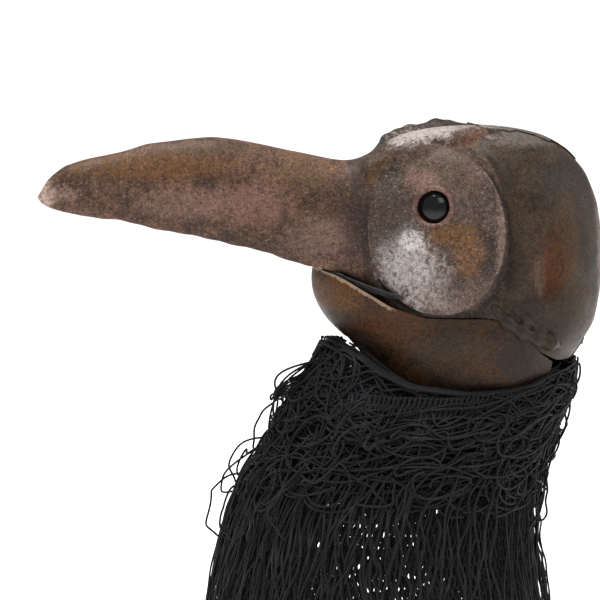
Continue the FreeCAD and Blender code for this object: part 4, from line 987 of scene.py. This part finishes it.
# ---------------------------------------------------------------- hardware, card and buttons
# Carried over from the engineering shapes, each in its own finish: brushed steel screws and rivets,
# grey board formers, moulded plastic headband, spacers, retainers and buttons.
def hard_finish(name, dark, light, scale, low_rough, high_rough, metal, relief):
    material, w, shader = new_material(name)
    place = w.place()
    broad = w.noise(place, scale, 6.0, 0.7)
    stretched = w.add("ShaderNodeMapping", Vector=place, Scale=(1, 1, 9)).outputs[0]
    fine = w.noise(stretched, scale * 6, 4.0)
    w.fill(shader, Base_Color=w.blend(w.spread(broad, 0.35, 0.65), dark, light), Metallic=metal,
           Roughness=w.spread(fine, 0.3, 0.7, low_rough, high_rough),
           Normal=w.bump(w.maths("ADD", fine, broad), 0.4, relief))
    return material


steel = hard_finish("dulled_steel", colour(96, 90, 84), colour(168, 164, 160), 240.0, 0.28, 0.5, 1.0, 0.0001)
board = hard_finish("grey_board", colour(84, 70, 54), colour(140, 122, 98), 130.0, 0.8, 0.95, 0.0, 0.0005)
plastic = hard_finish("black_moulded_plastic", colour(16, 16, 17), colour(30, 30, 32), 90.0, 0.35, 0.55, 0.0,
                      0.00015)
for node in sorted(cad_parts):
    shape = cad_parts[node]
    if "rivets" in node or "screw" in node or "_nut" in node:
        finish = steel
    elif "former" in node:
        finish = board
    elif "headband" in node or "button" in node or "retainer" in node or "spacer" in node:
        finish = plastic
    else:
        continue
    if "pivot_screw" in node:
        finish = cranium_paint
    if node == "sling_rivets":
        finish = jaw_paint
    for holder in shape.material_slots:
        holder.material = finish

# ---------------------------------------------------------------- yarn
# Black cotton yarn, plied and matt, wound round the neck in loose tangled loops and left hanging over
# the knit; each strand is swept along its own line by one node tree.
yarn_cotton, w, shader = new_material("black_cotton_yarn")
place = w.place()
ply = w.add("ShaderNodeTexWave", {"bands_direction": "DIAGONAL"}, Vector=place, Scale=160.0, Distortion=2.0,
            Detail=2.0).outputs["Fac"]
lint = w.noise(place, 900.0, 4.0, 0.8)
faded = w.noise(place, 22.0, 4.0, 0.6)
now = w.blend(w.maths("MULTIPLY", ply, lint), colour(5, 5, 6), colour(22, 22, 25))
now = w.blend(w.spread(faded, 0.5, 0.72, 0, 0.6), now, colour(40, 39, 44))
w.fill(shader, Base_Color=now, Roughness=w.spread(lint, 0.3, 0.7, 0.6, 0.9), Sheen_Weight=0.04,
       Specular_IOR_Level=0.25, Normal=w.bump(ply, 0.7, 0.0004))

spun = bpy.data.node_groups.new("spun_yarn", "GeometryNodeTree")
for label, kind, default in (("Geometry", "NodeSocketGeometry", None), ("Radius", "NodeSocketFloat", 0.0013),
                             ("Facets", "NodeSocketInt", 5), ("Material", "NodeSocketMaterial", None)):
    socket = spun.interface.new_socket(label, in_out="INPUT", socket_type=kind)
    if default is not None:
        socket.default_value = default
spun.interface.new_socket("Geometry", in_out="OUTPUT", socket_type="NodeSocketGeometry")
w = Wiring(spun)
feed, out = spun.nodes.new("NodeGroupInput"), spun.nodes.new("NodeGroupOutput")
lines = w.add("GeometryNodeMeshToCurve", Mesh=feed.outputs["Geometry"]).outputs[0]
ring = w.add("GeometryNodeCurvePrimitiveCircle", Resolution=feed.outputs["Facets"],
             Radius=feed.outputs["Radius"]).outputs[0]
tubes = w.add("GeometryNodeCurveToMesh", Curve=lines, Profile_Curve=ring, Fill_Caps=True).outputs[0]
tubes = w.add("GeometryNodeSetShadeSmooth", i0=tubes).outputs[0]
tubes = w.add("GeometryNodeRealizeInstances", i0=tubes).outputs[0]
tubes = w.add("GeometryNodeSetMaterial", i0=tubes, Material=feed.outputs["Material"]).outputs[0]
w.fill(out, i0=tubes)


def spin(name, lines, radius, facets, material):
    """Sweeps yarn along a list of lines of millimetre points and keeps it as one plain mesh."""
    counts = [len(line) for line in lines]
    starts = np.cumsum([0] + counts[:-1])
    edges = np.concatenate([np.stack((np.arange(s, s + n - 1), np.arange(s + 1, s + n)), axis=1)
                            for s, n in zip(starts, counts)])
    mesh = bpy.data.meshes.new(name)
    mesh.from_pydata((np.concatenate(lines) / 1000).tolist(), edges.tolist(), [])
    thing = add_piece(name, mesh)
    sweep = thing.modifiers.new("spun_yarn", "NODES")
    sweep.node_group = spun
    keys = {item.name: item.identifier for item in spun.interface.items_tree if item.in_out == "INPUT"}
    sweep[keys["Radius"]], sweep[keys["Facets"]], sweep[keys["Material"]] = radius / 1000, facets, material
    return apply_all(thing)


# the neck's own outline: height, half width, half length and middle, from the jaw down to the hem
NECK_HEIGHTS = (-560, -540, -465, -400, -335, -292, -250, -199)
neck_width = smooth_curve(NECK_HEIGHTS, (186, 184, 168, 152, 136, 128, 120, 106), 8)
neck_length = smooth_curve(NECK_HEIGHTS, (197, 196, 184, 171, 161, 153, 150, 156), 8)
neck_middle = smooth_curve(NECK_HEIGHTS, (-113, -113, -116, -114, -102, -80, -60, -39), 8)
jaw_under = smooth_curve((-180, -168, -150, -130, -103, -41, 13, 57, 100, 125),
                         (-172, -176, -188, -206, -220, -228, -224, -213, -208, -208), 4)


def on_neck(angle, height, out_by):
    """A point round the neck at an angle from straight ahead, a height, and a distance outwards."""
    width, length = neck_width(height) + out_by, neck_length(height) + out_by
    return np.stack((width * np.sin(angle), neck_middle(height) - length * np.cos(angle), height), axis=-1)


def in_ruff(angle, depth, out_by):
    """A point in the ruff: depth 0 lies under the jaw's edge, depth 1 at the ruff's foot."""
    tight = np.stack((98 * np.sin(angle), -32 - 132 * np.cos(angle)), axis=-1)
    top = jaw_under(tight[..., 1])
    height = top + (-332 - top) * depth
    outer = on_neck(angle, np.minimum(height, -205), 0 * angle)
    share = smooth_step(-0.05, 0.42, depth)[..., None]
    flat = tight * (1 - share) + outer[..., :2] * share
    away = flat - np.array((0, -50))
    away = away / np.linalg.norm(away, axis=-1, keepdims=True)
    return np.concatenate((flat + away * out_by[..., None], height[..., None]), axis=-1)


yarn_luck = np.random.default_rng(23)


def wander(count, waves, size):
    """A smooth random wobble along a strand."""
    t = np.linspace(0, 1, count)
    total = np.zeros(count)
    for wave in range(1, waves + 1):
        turns, start = yarn_luck.uniform(0.5, 1.3), yarn_luck.uniform(0, 6.3)
        total += np.sin(2 * math.pi * wave * t * turns + start) / wave ** 0.8
    return total * size


def swirl(low=-0.02, high=0.95, nearest=-9, farthest=9):
    """One strand wound part of the way round the neck, between two depths."""
    count = 44
    t = np.linspace(0, 1, count)
    start = yarn_luck.uniform(-math.pi, math.pi)
    sweep = yarn_luck.choice((-1, 1)) * yarn_luck.uniform(0.7, 2.4)
    depth = yarn_luck.uniform(low, high) + wander(count, 3, 0.10) + yarn_luck.uniform(-0.25, 0.25) * t
    return start + sweep / 2, in_ruff(start + sweep * t, np.clip(depth, -0.03, 1.15),
                                      yarn_luck.uniform(nearest, farthest) + wander(count, 4, 2.2))


def loop():
    """One strand that curls round on itself."""
    count = 46
    t = np.linspace(0, 1, count)
    start, depth = yarn_luck.uniform(-math.pi, math.pi), yarn_luck.uniform(0.12, 0.95)
    radius, turns = yarn_luck.uniform(14, 42), yarn_luck.uniform(0.7, 1.7)
    turn = 2 * math.pi * turns * t + yarn_luck.uniform(0, 6.3)
    drift = yarn_luck.uniform(-0.35, 0.35) * t
    around = start + drift + radius / 150 * np.cos(turn) + wander(count, 2, 0.03)
    down = depth + radius / 125 * np.sin(turn) * 0.8 + wander(count, 2, 0.03)
    return start, in_ruff(around, np.clip(down, 0.0, 1.3), yarn_luck.uniform(3, 13) + wander(count, 3, 2.0))


def hang(low, high, spread=math.pi, foot=-556):
    """One strand that hangs from the ruff towards the hem."""
    count = 56
    t = np.linspace(0, 1, count)
    start = yarn_luck.uniform(-spread, spread)
    height = yarn_luck.uniform(low, high) * (1 - t) + yarn_luck.uniform(foot, -410) * t
    around = start + wander(count, 3, 0.028) + yarn_luck.uniform(-0.12, 0.12) * t
    return on_neck(around, height, yarn_luck.uniform(3.5, 9) + wander(count, 4, 1.6))


def stray(near, out_by):
    """One loose loop that stands off the ruff."""
    count = 34
    t = np.linspace(0, 1, count)
    start = yarn_luck.uniform(*near)
    depth = yarn_luck.uniform(0.05, 0.9) + yarn_luck.uniform(0.15, 0.6) * t + wander(count, 3, 0.04)
    rise = np.sin(math.pi * np.clip(t * 1.05, 0, 1)) ** 0.8 * yarn_luck.uniform(*out_by)
    return start, in_ruff(start + yarn_luck.uniform(-0.25, 0.25) * t + wander(count, 2, 0.03), depth,
                          4 + rise + wander(count, 4, 2.0))


NECK_PULL = ((0, 0.03, -0.345), (0, -0.06, -0.235))
front_lines, back_lines = [], []
strands = [swirl() for _ in range(430)] + [loop() for _ in range(210)]
strands += [swirl(0.02, 0.34, 2, 13) for _ in range(130)]
strands += [stray((-1.1, 1.1), (10, 30)) for _ in range(30)] + [stray((2.4, 3.9), (8, 20)) for _ in range(26)]
for middle, line in strands:
    (front_lines if math.cos(middle) > 0.05 else back_lines).append(line)
# loose ends that hang clear in front of the throat
for reach, drop in ((38, 30), (52, 16), (30, 44)):
    t = np.linspace(0, 1, 20)
    base = in_ruff(np.full(20, 0.2 - drop / 200), 0.10 + 0.02 * drop * t / 3, 6 + reach * np.sin(t * 2.0))
    base[:, 2] -= drop * t ** 3
    front_lines.append(base)
hanging = [hang(-350, -235) for _ in range(150)] + [hang(-345, -230, 1.5) for _ in range(110)]
for label, lines, radius in (("front_ruff", front_lines, 1.25), ("back_ruff", back_lines, 1.25),
                             ("hanging_yarn", hanging, 1.2)):
    for number in (1, 2):
        piece = spin(f"{label}_{number}", lines[number - 1::2], radius, 5, yarn_cotton)
        wear(piece, yarn_cotton, NECK_PULL, "yarn", *(["yarn_ruff"] if piece.name == "front_ruff_1" else []))

# ---------------------------------------------------------------- knit drape
# Openwork black cotton knit that hangs from the rim to the shoulders, ribbed from top to bottom; its
# threads are real, in an outer and an inner face, so that light shows through between them.
knit_cotton = yarn_cotton.copy()
knit_cotton.name = "black_cotton_knit"
KNIT_RIBS = 330


def ribs(out_by, thread_luck):
    lines = []
    for rib in range(KNIT_RIBS):
        count = 60
        t = np.linspace(0, 1, count)
        around = 2 * math.pi * (rib + thread_luck.uniform(-0.3, 0.3)) / KNIT_RIBS
        top = -214 - 8 * abs(math.sin(around)) - 4 * (math.cos(around) > 0)
        height = top + (-538 + thread_luck.uniform(-3, 6) - top) * t
        fold = 3.2 * np.sin(around * 9 + 1.2 * np.sin(t * 3)) * t + 2.0 * np.sin(around * 23 + 2 * t) * t
        wave = 0.011 * np.sin(2 * math.pi * t * 15 + rib * math.pi) + 0.012 * np.sin(t * 5 + around * 6) * t
        lines.append(on_neck(around + wave, height, out_by + fold - 3.5 * t))
    return lines


knit = spin("knit_drape_threads", ribs(-2.0, np.random.default_rng(5)), 1.3, 4, knit_cotton)
wear(knit, knit_cotton, NECK_PULL, "knit", "knit_drape")
lining = spin("knit_drape_inner_threads", ribs(-5.0, np.random.default_rng(6)), 2.1, 4, knit_cotton)
wear(lining, knit_cotton, NECK_PULL, "knit")
